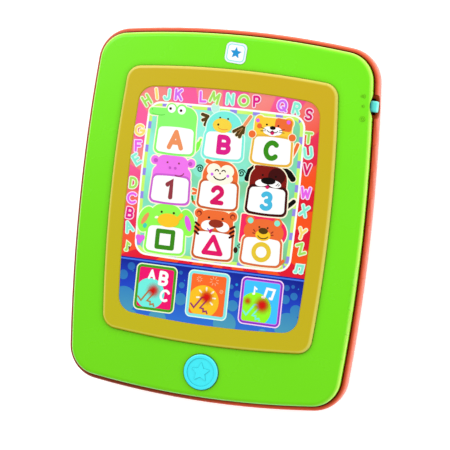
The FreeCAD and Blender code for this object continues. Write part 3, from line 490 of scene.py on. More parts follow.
# Dark and light colour, roughness, grain per metre, grain strength and, for foam, sheen.
MATTES = {
    "clear_film": ((200, 212, 218), (226, 234, 238), 0.2, 300.0, 0.02),
    "tail_film": ((176, 132, 66), (204, 166, 96), 0.3, 300.0, 0.03),
    "dark_rubber": ((26, 26, 28), (44, 44, 46), 0.85, 700.0, 0.3),
    "grey_rubber": ((138, 140, 146), (164, 166, 170), 0.7, 600.0, 0.1),
    "grey_foam": ((46, 46, 50), (84, 84, 88), 0.95, 2400.0, 0.9, 0.2),
    "component_black": ((20, 20, 22), (48, 48, 52), 0.5, 900.0, 0.1),
    "magnet_grey": ((40, 40, 44), (66, 66, 70), 0.6, 1400.0, 0.3),
    "paper_cone": ((30, 28, 27), (58, 54, 52), 0.9, 1200.0, 0.5),
    "wire_red": ((150, 12, 10), (206, 24, 20), 0.45, 300.0, 0.05),
}
# Colour and roughness.
METALS = {
    "zinc_steel": ((206, 208, 212), 0.28),
    "tinned_steel": ((188, 190, 194), 0.38),
    "nickel_steel": ((214, 208, 196), 0.25),
}


def finish_table():
    """Material for each of the record's slots."""
    table = {name: moulded(name, **look) for name, look in PLASTICS.items()}
    table.update({name: matte(name, *look) for name, look in MATTES.items()})
    table.update({name: metal(name, *look) for name, look in METALS.items()})
    rim_shadow(table["orange_shell"])
    table["printed_film"] = sunburst_print()
    table["sticker_film"] = ink("sticker_film", rgb(238, 246, 250))
    table["board_laminate"] = board_print()
    table["cell_wrap"] = cell_wrap()
    return table


def finish_parts():
    """Gives each CAD part the finish of its slot."""
    table = finish_table()
    for row in frame["record"]["subparts"]:
        part = frame["nodes"][row["node"]]
        part.data.materials.clear()
        part.data.materials.append(table[row["material_slot"]])


# ---- flat shapes, in millimetres ----
def turned(points, angle, x=0.0, y=0.0):
    """Points turned about the origin by degrees, then moved."""
    c = math.cos(math.radians(angle))
    s = math.sin(math.radians(angle))
    return [(x + px * c - py * s, y + px * s + py * c) for px, py in points]


def arc(x, y, rx, ry, start, end):
    """Points along part of an ellipse, between two angles in degrees."""
    steps = max(4, int(abs(end - start) / 11))
    out = []
    for i in range(steps + 1):
        a = math.radians(start + (end - start) * i / steps)
        out.append((x + rx * math.cos(a), y + ry * math.sin(a)))
    return out


def oval(x, y, rx, ry=None, turn=0.0):
    """Ellipse, or a circle if one radius is given."""
    return turned(arc(0, 0, rx, ry or rx, 0, 360)[:-1], turn, x, y)


def rounded(x, y, half_w, half_h, radius, turn=0.0):
    """Rectangle with round corners."""
    points = []
    for sx, sy, start in ((1, 1, 0), (-1, 1, 90), (-1, -1, 180), (1, -1, 270)):
        points += arc(sx * (half_w - radius), sy * (half_h - radius), radius, radius, start, start + 90)
    return turned(points, turn, x, y)


def stroke(points, half):
    """Outline of a line with round ends."""
    line = [Vector(p) for p in points]
    last = len(line) - 1
    left = []
    right = []
    for i, p in enumerate(line):
        back = (p - line[i - 1]).normalized() if i else (line[1] - p).normalized()
        ahead = (line[i + 1] - p).normalized() if i < last else back
        way = (back + ahead).normalized()
        side = Vector((-way.y, way.x)) * (half / max(0.6, way.dot(ahead)))
        left.append(tuple(p + side))
        right.append(tuple(p - side))
    begin = math.degrees(math.atan2(line[1].y - line[0].y, line[1].x - line[0].x))
    end = math.degrees(math.atan2(line[last].y - line[last - 1].y, line[last].x - line[last - 1].x))
    tip = arc(line[last].x, line[last].y, half, half, end - 90, end + 90)[1:-1]
    tail = arc(line[0].x, line[0].y, half, half, begin + 90, begin + 270)[1:-1]
    return right + tip + left[::-1] + tail


def bowed(shape, inset=0.0):
    """Rounded rectangle with bowed sides, its sizes in the order of WINDOW."""
    half_w, half_h, _, _, corner_r, centre_y = shape
    side_r, end_r = bow_radii(shape)
    side_c = Vector((half_w - side_r, 0))
    end_c = Vector((0, half_h - end_r))
    gap = end_c - side_c
    d1 = side_r - corner_r
    d2 = end_r - corner_r
    along = (d1 ** 2 - d2 ** 2 + gap.length ** 2) / (2 * gap.length)
    across = math.sqrt(d1 ** 2 - along ** 2)
    unit = gap.normalized()
    corner = side_c + unit * along + Vector((unit.y, -unit.x)) * across
    if corner.x < 0 or corner.y < 0:
        corner = side_c + unit * along - Vector((unit.y, -unit.x)) * across
    to_side = (corner - side_c).normalized()
    to_end = (corner - end_c).normalized()
    side_angle = math.degrees(math.atan2(to_side.y, to_side.x))
    end_angle = math.degrees(math.atan2(to_end.y, to_end.x))
    quarter = arc(side_c.x, side_c.y, side_r - inset, side_r - inset, 0, side_angle)
    quarter += arc(corner.x, corner.y, corner_r - inset, corner_r - inset, side_angle, end_angle)[1:]
    quarter += arc(end_c.x, end_c.y, end_r - inset, end_r - inset, end_angle, 90)[1:]
    half = quarter + [(-x, y) for x, y in quarter[::-1][1:]]
    whole = half + [(x, -y) for x, y in half[::-1][1:-1]]
    return [(x, y + centre_y) for x, y in whole]


def edges(points):
    """Each corner of a closed shape with the next one."""
    return list(zip(points, points[1:] + points[:1]))


def clipped(points, edge):
    """Part of a shape that lies inside a convex outline, both anticlockwise."""
    out = points
    for (ax, ay), (bx, by) in edges(edge):
        kept = []
        for (px, py), (qx, qy) in edges(out):
            p_in = (bx - ax) * (py - ay) - (by - ay) * (px - ax)
            q_in = (bx - ax) * (qy - ay) - (by - ay) * (qx - ax)
            if p_in >= 0:
                kept.append((px, py))
            if (p_in >= 0) != (q_in >= 0):
                t = p_in / (p_in - q_in)
                kept.append((px + t * (qx - px), py + t * (qy - py)))
        out = kept
        if not out:
            break
    return out


def half_plane(y, above):
    """Large box above or below a height, to clip with."""
    low, high = (y, 300) if above else (-300, y)
    return [(-300, low), (300, low), (300, high), (-300, high)]


# ---- inks ----
INKS = {
    "white": (253, 253, 251), "cream": (252, 246, 214), "ivory": (255, 248, 226), "black": (14, 6, 4),
    "brown": (84, 60, 8), "coffee": (56, 34, 14), "croc": (138, 250, 108), "croc_dark": (92, 214, 70),
    "bird": (120, 240, 222), "gold": (248, 214, 62), "cat": (252, 204, 50), "orange": (240, 108, 46),
    "hippo": (240, 116, 236), "hippo_dark": (196, 82, 196), "dog": (130, 14, 4), "dog_dark": (66, 4, 4),
    "elephant": (146, 252, 78), "bear_pink": (246, 34, 92),
    "muzzle": (250, 200, 30), "maroon": (150, 44, 24), "teal": (60, 210, 190), "mint": (132, 238, 210),
    "mint_pale": (220, 252, 240), "violet": (206, 108, 240), "lilac": (250, 214, 252),
    "purple": (142, 44, 196), "orchid": (232, 96, 232), "magenta": (222, 20, 136), "rose": (255, 210, 226),
    "crimson": (216, 6, 96),
    "lime": (162, 228, 92), "lime_pale": (238, 252, 208), "yellow": (250, 220, 110), "salmon": (240, 146, 92),
    "green": (54, 144, 14), "leaf": (6, 74, 50), "curl_disc": (136, 232, 206),
    "hippo_edge": (206, 96, 210), "tiger_edge": (206, 92, 34), "bear_edge": (222, 110, 54),
    "cat_edge": (236, 182, 52), "dark_green": (56, 138, 16), "berry": (148, 54, 64), "sky": (66, 186, 224),
    "pink": (228, 10, 102), "amber": (234, 200, 48), "key_green": (66, 160, 20), "key_pink": (240, 2, 108),
    "key_orange": (252, 106, 34), "key_sky": (58, 196, 255), "key_aqua": (128, 232, 232),
    "aqua_disc": (112, 240, 224), "sun_disc": (250, 194, 26), "lime_disc": (150, 250, 28),
    "tuft": (190, 242, 226), "tan": (176, 128, 72), "plum": (150, 56, 110), "peach": (255, 186, 140),
    "croc_tail": (126, 255, 66), "line_blue": (70, 122, 240), "star_blue": (30, 150, 214),
}
used_inks = {}
prints = []
PATTERNS = {"panel": panel_print, "dashes": dashed_print, "band": band_print, "bubble": bubble_print}


def ink_for(name):
    """One material for each ink."""
    if name not in used_inks:
        used_inks[name] = PATTERNS[name]() if name in PATTERNS else ink("ink_" + name, rgb(*INKS[name]))
    return used_inks[name]


def placed(name, data):
    """Object made from its data and put in the scene."""
    obj = bpy.data.objects.new(name, data)
    bpy.context.scene.collection.objects.link(obj)
    return obj


class Print:
    """One printed picture: closed prisms of ink in several colours, in one mesh."""

    def __init__(self, name, x=0.0, y=0.0, base=PRINT_Z):
        self.name = name
        self.at = (x, y)
        self.base = base
        self.bm = bmesh.new()
        self.inks = []
        self.lift = FIRST_LIFT + PICTURE_LIFT * len(prints)  # no two prisms share a top face
        self.heaped = {}
        prints.append(name)

    def add(self, points, layer, colour):
        """Adds one flat shape; a higher layer lies on top of a lower one."""
        if colour not in self.inks:
            self.inks.append(colour)
        index = self.inks.index(colour)
        area = sum(ax * by - bx * ay for (ax, ay), (bx, by) in edges(points))
        points = points if area > 0 else points[::-1]
        self.heaped[layer] = self.heaped.get(layer, -1) + 1
        low = self.base + self.lift + layer * INK_STEP + self.heaped[layer] * LAYER_LIFT
        rings = []
        for z in (low, low + INK_THICK):
            rings.append([self.bm.verts.new(((x + self.at[0]) * MM, (y + self.at[1]) * MM, z * MM))
                          for x, y in points])
        faces = [self.bm.faces.new(rings[1]), self.bm.faces.new(rings[0][::-1])]
        for i in range(len(points)):
            j = (i + 1) % len(points)
            faces.append(self.bm.faces.new((rings[0][i], rings[0][j], rings[1][j], rings[1][i])))
        for face in faces:
            face.material_index = index

    def lines(self, strokes, half, layer, colour):
        """Adds lines with round ends."""
        for points in strokes:
            self.add(stroke(points, half), layer, colour)

    def dots(self, places, radius, layer, colour):
        """Adds small round marks such as eyes."""
        for x, y in places:
            self.add(oval(x, y, radius), layer, colour)

    def shape(self, kind, grow, layer, colour):
        """Adds an oval, box or line given as a tuple, made larger by grow."""
        what, *sizes = kind
        if what == "oval":
            x, y, rx, ry, *turn = sizes
            points = oval(x, y, rx + grow, ry + grow, *turn)
        elif what == "box":
            x, y, w, h, r, *turn = sizes
            points = rounded(x, y, w + grow, h + grow, r + grow, *turn)
        else:
            line, half = sizes
            points = stroke(line, half + grow)
        self.add(points, layer, colour)

    def figure(self, shapes, layer, colour, halo="cream", edge=0.75):
        """Adds a group of shapes with a pale edge round all of them."""
        for kind in shapes:
            self.shape(kind, edge, layer, halo)
        for kind in shapes:
            self.shape(kind, 0, layer + 1, colour)

    def write(self, sign, x, y, height, half, layer, colour, turn=0.0, wide=1.0):
        """Writes one letter or number about a centre."""
        strokes = GLYPHS[sign]
        width = max(px for points in strokes for px, _ in points)
        for points in strokes:
            scaled = [((px - width / 2) * height * wide, (py - 0.5) * height) for px, py in points]
            self.add(stroke(turned(scaled, turn, x, y), half), layer, colour)

    def done(self):
        """Makes the mesh and lets it ride on its body."""
        data = bpy.data.meshes.new(self.name)
        self.bm.to_mesh(data)
        self.bm.free()
        for colour in self.inks:
            data.materials.append(ink_for(colour))
        obj = placed(self.name, data)
        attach(obj, "casing")


# ---- letters and numbers as lines in a box one unit high ----
def chain(*corners):
    """Straight lines through the corners, each one a stroke of its own."""
    return [list(pair) for pair in zip(corners, corners[1:])]


def ring(half_w):
    """Upright oval of full height in two strokes."""
    return [arc(half_w, 0.5, half_w, 0.5, 0, 180), arc(half_w, 0.5, half_w, 0.5, 180, 360)]


STEM = [(0, 0), (0, 1)]
BOWL = [(0, 1)] + arc(0.30, 0.74, 0.26, 0.26, 90, -90) + [(0, 0.48)]
BELLY = [(0, 0.5)] + arc(0.32, 0.25, 0.28, 0.25, 90, -90) + [(0, 0)]
GLYPHS = {
    "A": chain((0, 0), (0.36, 1), (0.72, 0)) + chain((0.12, 0.33), (0.60, 0.33)),
    "B": [STEM, BOWL, BELLY],
    "C": [arc(0.42, 0.5, 0.42, 0.5, 48, 312)],
    "D": [STEM, [(0, 1)] + arc(0.22, 0.5, 0.46, 0.5, 90, -90) + [(0, 0)]],
    "E": [[(0.56, 1), (0, 1), (0, 0), (0.56, 0)], [(0, 0.52), (0.48, 0.52)]],
    "F": [[(0.56, 1), (0, 1), (0, 0)], [(0, 0.52), (0.46, 0.52)]],
    "G": [arc(0.42, 0.5, 0.42, 0.5, 50, 360), [(0.84, 0.46), (0.5, 0.46)]],
    "H": [STEM, [(0.62, 0), (0.62, 1)], [(0, 0.5), (0.62, 0.5)]],
    "I": [[(0.05, 0), (0, 1)]],
    "J": [[(0.5, 1), (0.5, 0.28)] + arc(0.25, 0.26, 0.25, 0.26, 0, -165)],
    "K": [STEM, [(0.6, 1), (0.02, 0.42)], [(0.24, 0.6), (0.64, 0)]],
    "L": [[(0, 1), (0, 0), (0.55, 0)]],
    "M": chain((0, 0), (0.08, 1), (0.42, 0.3), (0.76, 1), (0.84, 0)),
    "N": chain((0, 0), (0, 1), (0.62, 0), (0.62, 1)),
    "O": ring(0.42),
    "P": [STEM, BOWL],
    "Q": ring(0.42) + [[(0.5, 0.32), (0.84, -0.06)]],
    "R": [STEM, BOWL, [(0.26, 0.46), (0.6, 0)]],
    "S": [arc(0.32, 0.75, 0.28, 0.25, 35, 270) + arc(0.32, 0.25, 0.30, 0.25, 90, -145)[1:]],
    "T": [[(0, 1), (0.66, 1)], [(0.33, 1), (0.33, 0)]],
    "U": [[(0, 1), (0, 0.32)] + arc(0.31, 0.31, 0.31, 0.31, 180, 360) + [(0.62, 1)]],
    "V": chain((0, 1), (0.34, 0), (0.68, 1)),
    "W": chain((0, 1), (0.2, 0), (0.44, 0.7), (0.68, 0), (0.88, 1)),
    "X": [[(0, 0), (0.64, 1)], [(0, 1), (0.64, 0)]],
    "Y": [[(0, 1), (0.33, 0.5)], [(0.66, 1), (0.33, 0.5)], [(0.33, 0.5), (0.33, 0)]],
    "Z": chain((0, 1), (0.62, 1), (0, 0), (0.62, 0)),
    "1": [[(0, 0.8), (0.26, 1), (0.26, 0)]],
    "2": [arc(0.32, 0.70, 0.31, 0.30, 165, -30) + [(0.02, 0)], [(0.02, 0), (0.66, 0)]],
    "3": [arc(0.30, 0.75, 0.27, 0.25, 150, -90), arc(0.30, 0.25, 0.31, 0.25, 90, -150)],
    "square": chain((0, 0), (0, 1), (1, 1), (1, 0), (0, 0)),
    "triangle": chain((0, 0), (0.52, 1), (1.04, 0), (0, 0)),
    "ring": ring(0.5),
    "note": [[(0.12, 0.1), (0.22, 0.1)], [(0.28, 0.1), (0.28, 1), (0.56, 0.8)]],
    "notes": [[(0.08, 0.08), (0.16, 0.08)], [(0.24, 0.1), (0.24, 0.9), (0.9, 1.0), (0.9, 0.2)],
              [(0.74, 0.18), (0.82, 0.18)]],
}


# ---- the printed screen ----
def print_ground():
    """White-edged panel, blue band with bubbles, and the small stars of the band."""
    window = bowed(WINDOW, 0.05)
    art = Print("print_ground")
    for inset, layer, colour in ((0.0, 0, "white"), (1.3, 1, "dashes"), (3.4, 2, "panel")):
        art.add(turned(bowed(PANEL, inset), 0, PANEL_X), layer, colour)
    art.add(clipped(window, half_plane(BAND_TOP, False)), 0, "band")
    strip = clipped(window, half_plane(BAND_TOP - 0.8, False))
    art.add(clipped(strip, half_plane(BAND_TOP - 1.8, True)), 1, "line_blue")
    bubbles = [
        (-57, -60.5, 8.6), (54, -64, 8.8), (12.5, -67.5, 7.6), (-33, -71, 6.4), (-59, -44.5, 3.2),
        (-54, -38.5, 2.6), (-18.6, -46.6, 2.0), (-20, -38.6, 1.3), (-18.6, -55.6, 4.0), (14.6, -43.4, 1.5),
        (19, -47.6, 2.3),
        (16.6, -55.4, 3.6), (50.8, -47, 2.9), (56.2, -44.4, 2.4), (55, -38.4, 1.2), (51, -39.6, 1.9),
        (58.4, -53.4, 3.8), (38, -70.5, 3.0), (-50.6, -70, 3.4),
    ]
    for i, (x, y, r) in enumerate(bubbles):
        art.add(clipped(oval(x, y, r), window), 1 + i % 2, "bubble")
    art.dots([(18, -41.6)], 0.9, 3, "star_blue")
    art.dots([(-52.6, -41.4), (-17, -43.2), (58.6, -39.4), (-19.4, -51)], 0.4, 3, "star_blue")
    art.done()


def border_letters():
    """The alphabet round the border, up the left side, along the top and down the right side."""
    pale = {"lime": "lime_pale", "mint": "mint_pale", "yellow": "cream", "violet": "lilac", "orchid": "lilac",
            "magenta": "rose", "crimson": "rose"}
    places = [
        ("note", -58.4, -26.2, "lime", 0), ("A", -58.6, -13.2, "mint", 24), ("B", -58.8, -4.2, "magenta", -4),
        ("C", -58.6, 5.6, "orchid", 0), ("D", -58.5, 15.5, "lime", 0), ("E", -58.0, 31.0, "mint", 38),
        ("F", -57.8, 39.6, "orchid", 4), ("G", -57.7, 50.0, "yellow", 0), ("H", -55.2, 69.6, "lime", 38),
        ("I", -48.8, 74.4, "yellow", 10), ("J", -41.8, 74.6, "mint", 0), ("K", -33.8, 75.2, "violet", 0),
        ("L", -17.4, 75.4, "orchid", 4), ("M", -9.4, 75.4, "lime", -16), ("N", 0.8, 75.6, "mint", 0),
        ("O", 9.9, 75.5, "lime", 0), ("P", 18.4, 75.8, "magenta", 4), ("Q", 35.4, 74.8, "violet", 0),
        ("R", 44.9, 73.8, "mint", -8), ("S", 53.2, 70.8, "crimson", -8), ("T", 54.6, 56.2, "lime", 0),
        ("U", 55.4, 46.8, "mint", 12), ("V", 55.8, 36.4, "crimson", 0), ("W", 56.6, 21.6, "orchid", 0),
        ("X", 56.9, 10.2, "mint", -16), ("Y", 56.9, -4.2, "yellow", -12), ("Z", 57.4, -14.0, "lime", 22),
        ("notes", 57.2, -26.8, "mint", -8),
    ]
    art = Print("border_letters")
    for sign, x, y, colour, turn in places:
        size = 6.0 if y > -20 else 5.2
        wide = 1.16 if sign in "CGOU" else 1.0
        art.write(sign, x, y, size, 1.4, 4, pale[colour], turn, wide)
        art.write(sign, x, y, size, 0.72, 5, colour, turn, wide)
    art.done()


def card_shape(inset):
    """Card with bowed top and bottom, a little narrower at the top."""
    half_w = CARD_W - inset
    corners = rounded(0, 0, half_w, CARD_H - inset, 3.4 - inset * 0.7)
    points = []
    for (ax, ay), (bx, by) in edges(corners):
        steps = max(1, round(math.hypot(bx - ax, by - ay) / 2))
        points += [(ax + (bx - ax) * i / steps, ay + (by - ay) * i / steps) for i in range(steps)]
    out = []
    for x, y in points:
        bow = 0.8 * (1 - (x / half_w) ** 2) * (1 if y > 0 else -1)
        out.append((x * (1 - 0.03 * y / CARD_H), y + bow))
    return out


def card_frame(art, colour, halo="cream", edge=1.35):
    """White card with an edge in the animal's colour and a pale line outside it."""
    art.add(card_shape(-0.8), 3, halo)
    art.add(card_shape(0), 4, colour)
    art.add(card_shape(edge), 7, "white")


def crocodile(art):
    """Green long-snouted head above card A."""
    tail = [(12.6, -6.6), (15.2, -3.6), (16.0, -0.6)]
    tip = [(16.0, -0.8), (17.2, 2.2)]
    art.lines([tail, tip], 1.9, 2, "cream")
    art.lines([tail], 1.4, 3, "croc_tail")
    art.lines([tip], 0.7, 3, "croc_tail")
    art.figure([
        ("box", 0.0, 9.4, 13.2, 9.0, 5.0), ("box", -9.8, 17.6, 9.8, 2.5, 2.4, 2),
        ("oval", 5.2, 14.6, 8.0, 7.4),
        ("oval", -4.5, 20.0, 3.6, 3.6), ("oval", 2.4, 19.6, 3.8, 3.8),
    ], 3, "croc")
    card_frame(art, "croc")
    art.dots([(-4.5, 20.1), (2.4, 19.6)], 2.75, 6, "white")
    art.dots([(-5.3, 20.0), (1.9, 19.3)], 0.9, 7, "coffee")
    art.lines([arc(-12.8, 16.4, 4.6, 1.2, 200, 330)], 0.22, 6, "croc_dark")
    art.dots([(-17.6, 18.6)], 0.45, 6, "croc_dark")
    art.write("A", 0.3, 0.3, 10.0, 1.5, 8, "salmon", 0, 1.12)


def bird(art):
    """Blue-green bird with a round yellow beak above card B."""
    wing = [[(-12.2, 17.4), (-16.0, 18.4)], [(-12.3, 16.2), (-15.4, 14.8)], [(-12.5, 15.4), (-13.6, 12.0)]]
    art.lines(wing, 1.6, 2, "cream")
    art.lines(wing, 1.1, 3, "brown")
    art.figure([("oval", -7.8, 23.2, 2.5, 3.0, 16)], 2, "tuft", "mint_pale", 0.5)
    art.figure([("box", -0.6, 9.8, 11.8, 11.8, 11.0)], 3, "bird", "mint_pale")
    card_frame(art, "bird", "mint_pale")
    art.dots([(-3.9, 17.4), (1.4, 17.1)], 0.6, 8, "coffee")
    art.add(oval(-2.0, 12.5, 6.4, 4.6, -4), 8, "gold")
    art.dots([(-4.7, 12.9)], 0.7, 9, "coffee")
    art.lines([arc(-1.0, 11.6, 3.6, 1.6, 200, 320)], 0.16, 9, "orange")
    feathers = [[(11.8, 13.0), (6.0, 9.6)], [(11.8, 13.0), (8.2, 7.6)], [(12.0, 13.0), (10.2, 6.6)],
                [(12.4, 13), (12.2, 9.4)]]
    art.lines(feathers, 1.55, 8, "cream")
    quill = [[(12.8, 14.4), (16.2, 20.0)]]
    art.lines(quill, 1.6, 8, "cream")
    art.lines(feathers, 1.1, 9, "brown")
    art.lines([[(11.4, 12.2), (7.6, 9.6)], [(11.6, 12.0), (9.4, 8.2)]], 0.22, 10, "tan")
    art.lines(quill, 1.05, 10, "salmon")
    art.write("B", 0.4, 0.4, 9.6, 1.6, 8, "magenta", 0, 1.12)


def cat(art):
    """Yellow cat with an orange patch above card C."""
    tail = [[(13.4, -2.4), (15.2, 1.6), (16.4, 5.4)]]
    art.lines(tail, 1.8, 2, "cream")
    art.lines(tail, 1.1, 3, "orange")
    art.figure([
        ("box", -0.7, 10.8, 12.4, 9.8, 4.2), ("oval", -9.8, 18.2, 3.2, 3.4), ("oval", 9.2, 18.2, 3.2, 3.4),
    ], 3, "cat")
    card_frame(art, "cat_edge")
    art.add(rounded(5.9, 16.8, 5.6, 3.8, 1.9, -4), 6, "orange")
    art.dots([(-11.2, 18.2), (9.0, 18.8)], 1.25, 7, "orchid")
    art.dots([(-9.8, 14.8)], 1.6, 6, "orange")
    art.dots([(-14.0, 9.2), (12.4, 9.3)], 2.8, 8, "cream")
    art.dots([(-14.0, 9.2), (12.4, 9.3)], 2.3, 9, "orange")
    art.dots([(-5.0, 16.1), (2.6, 15.9)], 0.6, 8, "black")
    for x in (-3.6, 1.9):
        art.add(oval(x, 12.4, 3.5, 2.6), 8, "white")
    art.add(oval(-0.9, 10.9, 3.6, 1.8), 8, "white")
    art.add(oval(-0.9, 14.3, 1.9, 1.2), 9, "black")
    art.add(oval(-0.9, 11.2, 1.3, 1.3), 9, "crimson")
    art.lines([arc(-2.6, 12.8, 1.7, 1.3, 195, 345), arc(0.8, 12.8, 1.7, 1.3, 195, 345)], 0.22, 10, "black")
    for side in (-1, 1):
        x = -0.9 + side * 4.4
        whiskers = [[(x, 12.9), (x + side * 3.2, 14.0)], [(x, 12.1), (x + side * 3.4, 11.8)]]
        art.lines(whiskers, 0.16, 10, "black")
    art.write("C", -0.6, 0.0, 9.8, 1.6, 8, "green", 0, 0.95)


def hippo(art):
    """Pink hippopotamus above card 1."""
    art.figure([
        ("box", -0.2, 12.8, 10.8, 9.0, 5.2), ("oval", -12.2, 18.0, 2.8, 2.9), ("oval", 12.4, 18.0, 2.8, 2.9),
        ("box", -0.1, 8.8, 13.0, 6.2, 5.0),
    ], 3, "hippo")
    card_frame(art, "hippo_edge")
    art.dots([(-11.7, 17.7), (11.8, 17.7)], 1.4, 6, "hippo_dark")
    art.dots([(-3.6, 17.2), (4.2, 17.2)], 0.6, 9, "berry")
    art.dots([(-1.6, 13.9), (2.0, 13.9)], 0.85, 9, "hippo_dark")
    art.lines([arc(4.4, 11.8, 3.8, 2.8, 240, 345)], 0.28, 9, "berry")
    art.write("1", -0.7, 0.0, 10.0, 1.5, 8, "berry")


def monkey(art):
    """Orange monkey with a pale face above card 2, between two curled leaves."""
    for side in (-1, 1):
        art.add(oval(side * 14.2, 15.2, 4.9, 5.6), 1, "mint_pale")
        art.add(oval(side * 14.2, 15.2, 4.4, 5.1), 2, "curl_disc")
        curl = []
        for i in range(20):
            a = math.radians(90 + side * (30 * i - 70))
            r = 2.6 - 0.11 * i
            curl.append((side * 13.9 + r * math.cos(a), 15.4 + r * math.sin(a)))
        art.lines([curl], 0.4, 3, "leaf")
    fingers = [[(-13.4, 0.8), (-17.0, 2.0)], [(-13.4, -0.2), (-16.8, -0.8)], [(-13.4, -8.0), (-16.2, -6.0)]]
    art.lines(fingers, 1.3, 2, "cream")
    art.lines(fingers, 0.85, 3, "orange")
    art.lines([[(-16.4, -5.6), (-17.2, -2.8)]], 0.6, 4, "dark_green")
    tuft = ("line", [(-9.4, 20.8), (-4.0, 19.0)], 1.3)
    art.figure([("box", 0.2, 10.8, 11.8, 11.0, 10.0), tuft], 3, "orange")
    card_frame(art, "tiger_edge")
    for x, y, rx, ry in ((-4.4, 15.6, 4.7, 4.2), (4.4, 15.4, 4.7, 4.2), (0.0, 10.9, 8.8, 4.3)):
        art.add(oval(x, y, rx, ry), 8, "ivory")
    art.dots([(-5.4, 12.8), (5.2, 12.6)], 1.0, 9, "violet")
    art.lines([arc(-2.4, 14.8, 1.2, 1.2, 15, 165), arc(2.1, 14.8, 1.2, 1.2, 15, 165)], 0.36, 9, "coffee")
    art.dots([(-0.1, 13.7)], 0.55, 9, "coffee")
    art.lines([arc(-0.1, 12.8, 4.3, 3.2, 205, 335)], 0.4, 9, "coffee")
    art.write("2", -0.5, -0.2, 9.6, 1.5, 8, "crimson", 0, 1.0)


def dog(art):
    """Dark red dog with black ears above card 3."""
    ears = [[(-9.2, 20.6), (-12.8, 17.4), (-14.2, 12.6)], [(8.8, 20.6), (12.8, 18.6), (15.6, 15.4)]]
    tail = [[(13.8, -2.6), (15.8, -0.8), (17.8, 1.2)]]
    art.lines(ears + tail, 2.5, 2, "cream")
    art.lines(ears, 1.9, 3, "black")
    art.lines(tail, 1.4, 3, "black")
    art.figure([("box", -0.2, 11.0, 12.2, 10.8, 8.6), ("line", [(-8.8, 20.4), (-4.0, 20.6)], 1.3)], 3, "dog")
    card_frame(art, "dog_dark", "cream", 1.6)
    art.add(oval(5.0, 15.8, 5.6, 5.2), 6, "dog_dark")
    art.dots([(15.6, 15.4)], 1.9, 4, "black")
    for side in (-1, 1):
        art.add(oval(side * 4.2, 10.8, 4.4, 2.3, -side * 8), 8, "white")
    art.dots([(-4.2, 15.8), (4.4, 15.6)], 0.6, 9, "black")
    art.add(oval(-0.2, 12.4, 4.8, 2.2), 9, "black")
    creases = [[(5.2, 9.9), (6.6, 11.4)], [(6.6, 9.8), (7.6, 10.8)], [(-0.3, 10.6), (-0.3, 9.4)]]
    art.lines(creases, 0.22, 9, "black")
    art.add(oval(-0.4, 8.4, 1.2, 1.1), 9, "crimson")
    art.write("3", -0.1, -0.4, 9.4, 1.5, 8, "sky", 0, 0.98)


def elephant(art):
    """Light green elephant with wide ears above the square."""
    art.figure([
        ("oval", -14.2, 11.6, 5.2, 8.6, -16), ("oval", 13.8, 12.2, 5.2, 8.6, 16),
        ("box", -0.8, 13.0, 11.0, 9.6, 8.0), ("box", -0.1, 8.0, 13.0, 5.4, 4.5),
    ], 3, "elephant", "lime_pale")
    card_frame(art, "elephant", "lime_pale")
    art.add(oval(-15.0, 12.0, 1.5, 4.4, -28), 6, "salmon")
    art.add(oval(-14.6, 7.4, 1.3, 1.6, -20), 7, "teal")
    art.add(oval(14.4, 12.0, 1.9, 5.2, 20), 6, "orchid")
    art.add(oval(1.0, 12.4, 7.4, 4.5), 8, "muzzle")
    art.add(stroke([(5.6, 13.2), (8.4, 14.8), (9.4, 16.6)], 1.4), 8, "muzzle")
    art.add(oval(-7.2, 13.6, 1.3, 0.8, 20), 9, "ivory")
    art.dots([(-4.1, 17.5), (4.2, 17.5)], 0.75, 9, "coffee")
    for side in (-1, 1):
        art.add(oval(-16.9 + side * 1.1, -0.9, 1.8, 2.2, -side * 34), 5, "orchid")
    art.add(oval(-16.9, -2.8, 1.4, 1.8), 5, "orchid")
    art.write("square", 0.0, -0.1, 10.4, 1.45, 8, "dark_green")


def tiger(art):
    """Orange tiger with dark stripes above the triangle."""
    art.figure([
        ("box", 0.0, 13.0, 12.0, 9.4, 7.4), ("oval", -11.2, 19.6, 3.1, 3.1), ("oval", 11.2, 19.6, 3.1, 3.1),
        ("box", 0.0, 8.6, 13.6, 6.4, 5.2),
    ], 3, "orange")
    card_frame(art, "tiger_edge")
    art.dots([(-11.2, 19.6), (11.2, 19.6)], 1.7, 6, "maroon")
    art.dots([(-11.4, 19.2), (11.4, 19.2)], 1.1, 7, "orange")
    for side in (-1, 1):
        art.add(oval(side * 4.8 + 0.3, 12.4, 4.7, 3.3, -side * 8), 8, "white")
        for y in (13.4, 10.6, 7.8):
            art.lines([[(side * 13.0, y), (side * 10.6, y - 1.6)]], 0.7, 8, "dog_dark")
    art.add(oval(0.7, 14.0, 5.0, 2.6), 9, "maroon")
    art.dots([(-4.4, 17.5), (4.8, 17.5)], 0.7, 9, "black")
    art.lines([arc(-3.0, 10.6, 1.6, 1.2, 190, 350)], 0.3, 9, "purple")
    art.add(oval(-2.4, 8.9, 0.9, 1.5, -16), 9, "crimson")
    art.write("triangle", 0.0, 0.2, 10.4, 1.5, 8, "pink", 0, 1.04)
    art.add(oval(15.4, -1.2, 1.4, 2.0), 4, "coffee")
    art.dots([(16.6, 1.6), (17.6, 0.8), (17.4, 2.6)], 0.5, 5, "coffee")


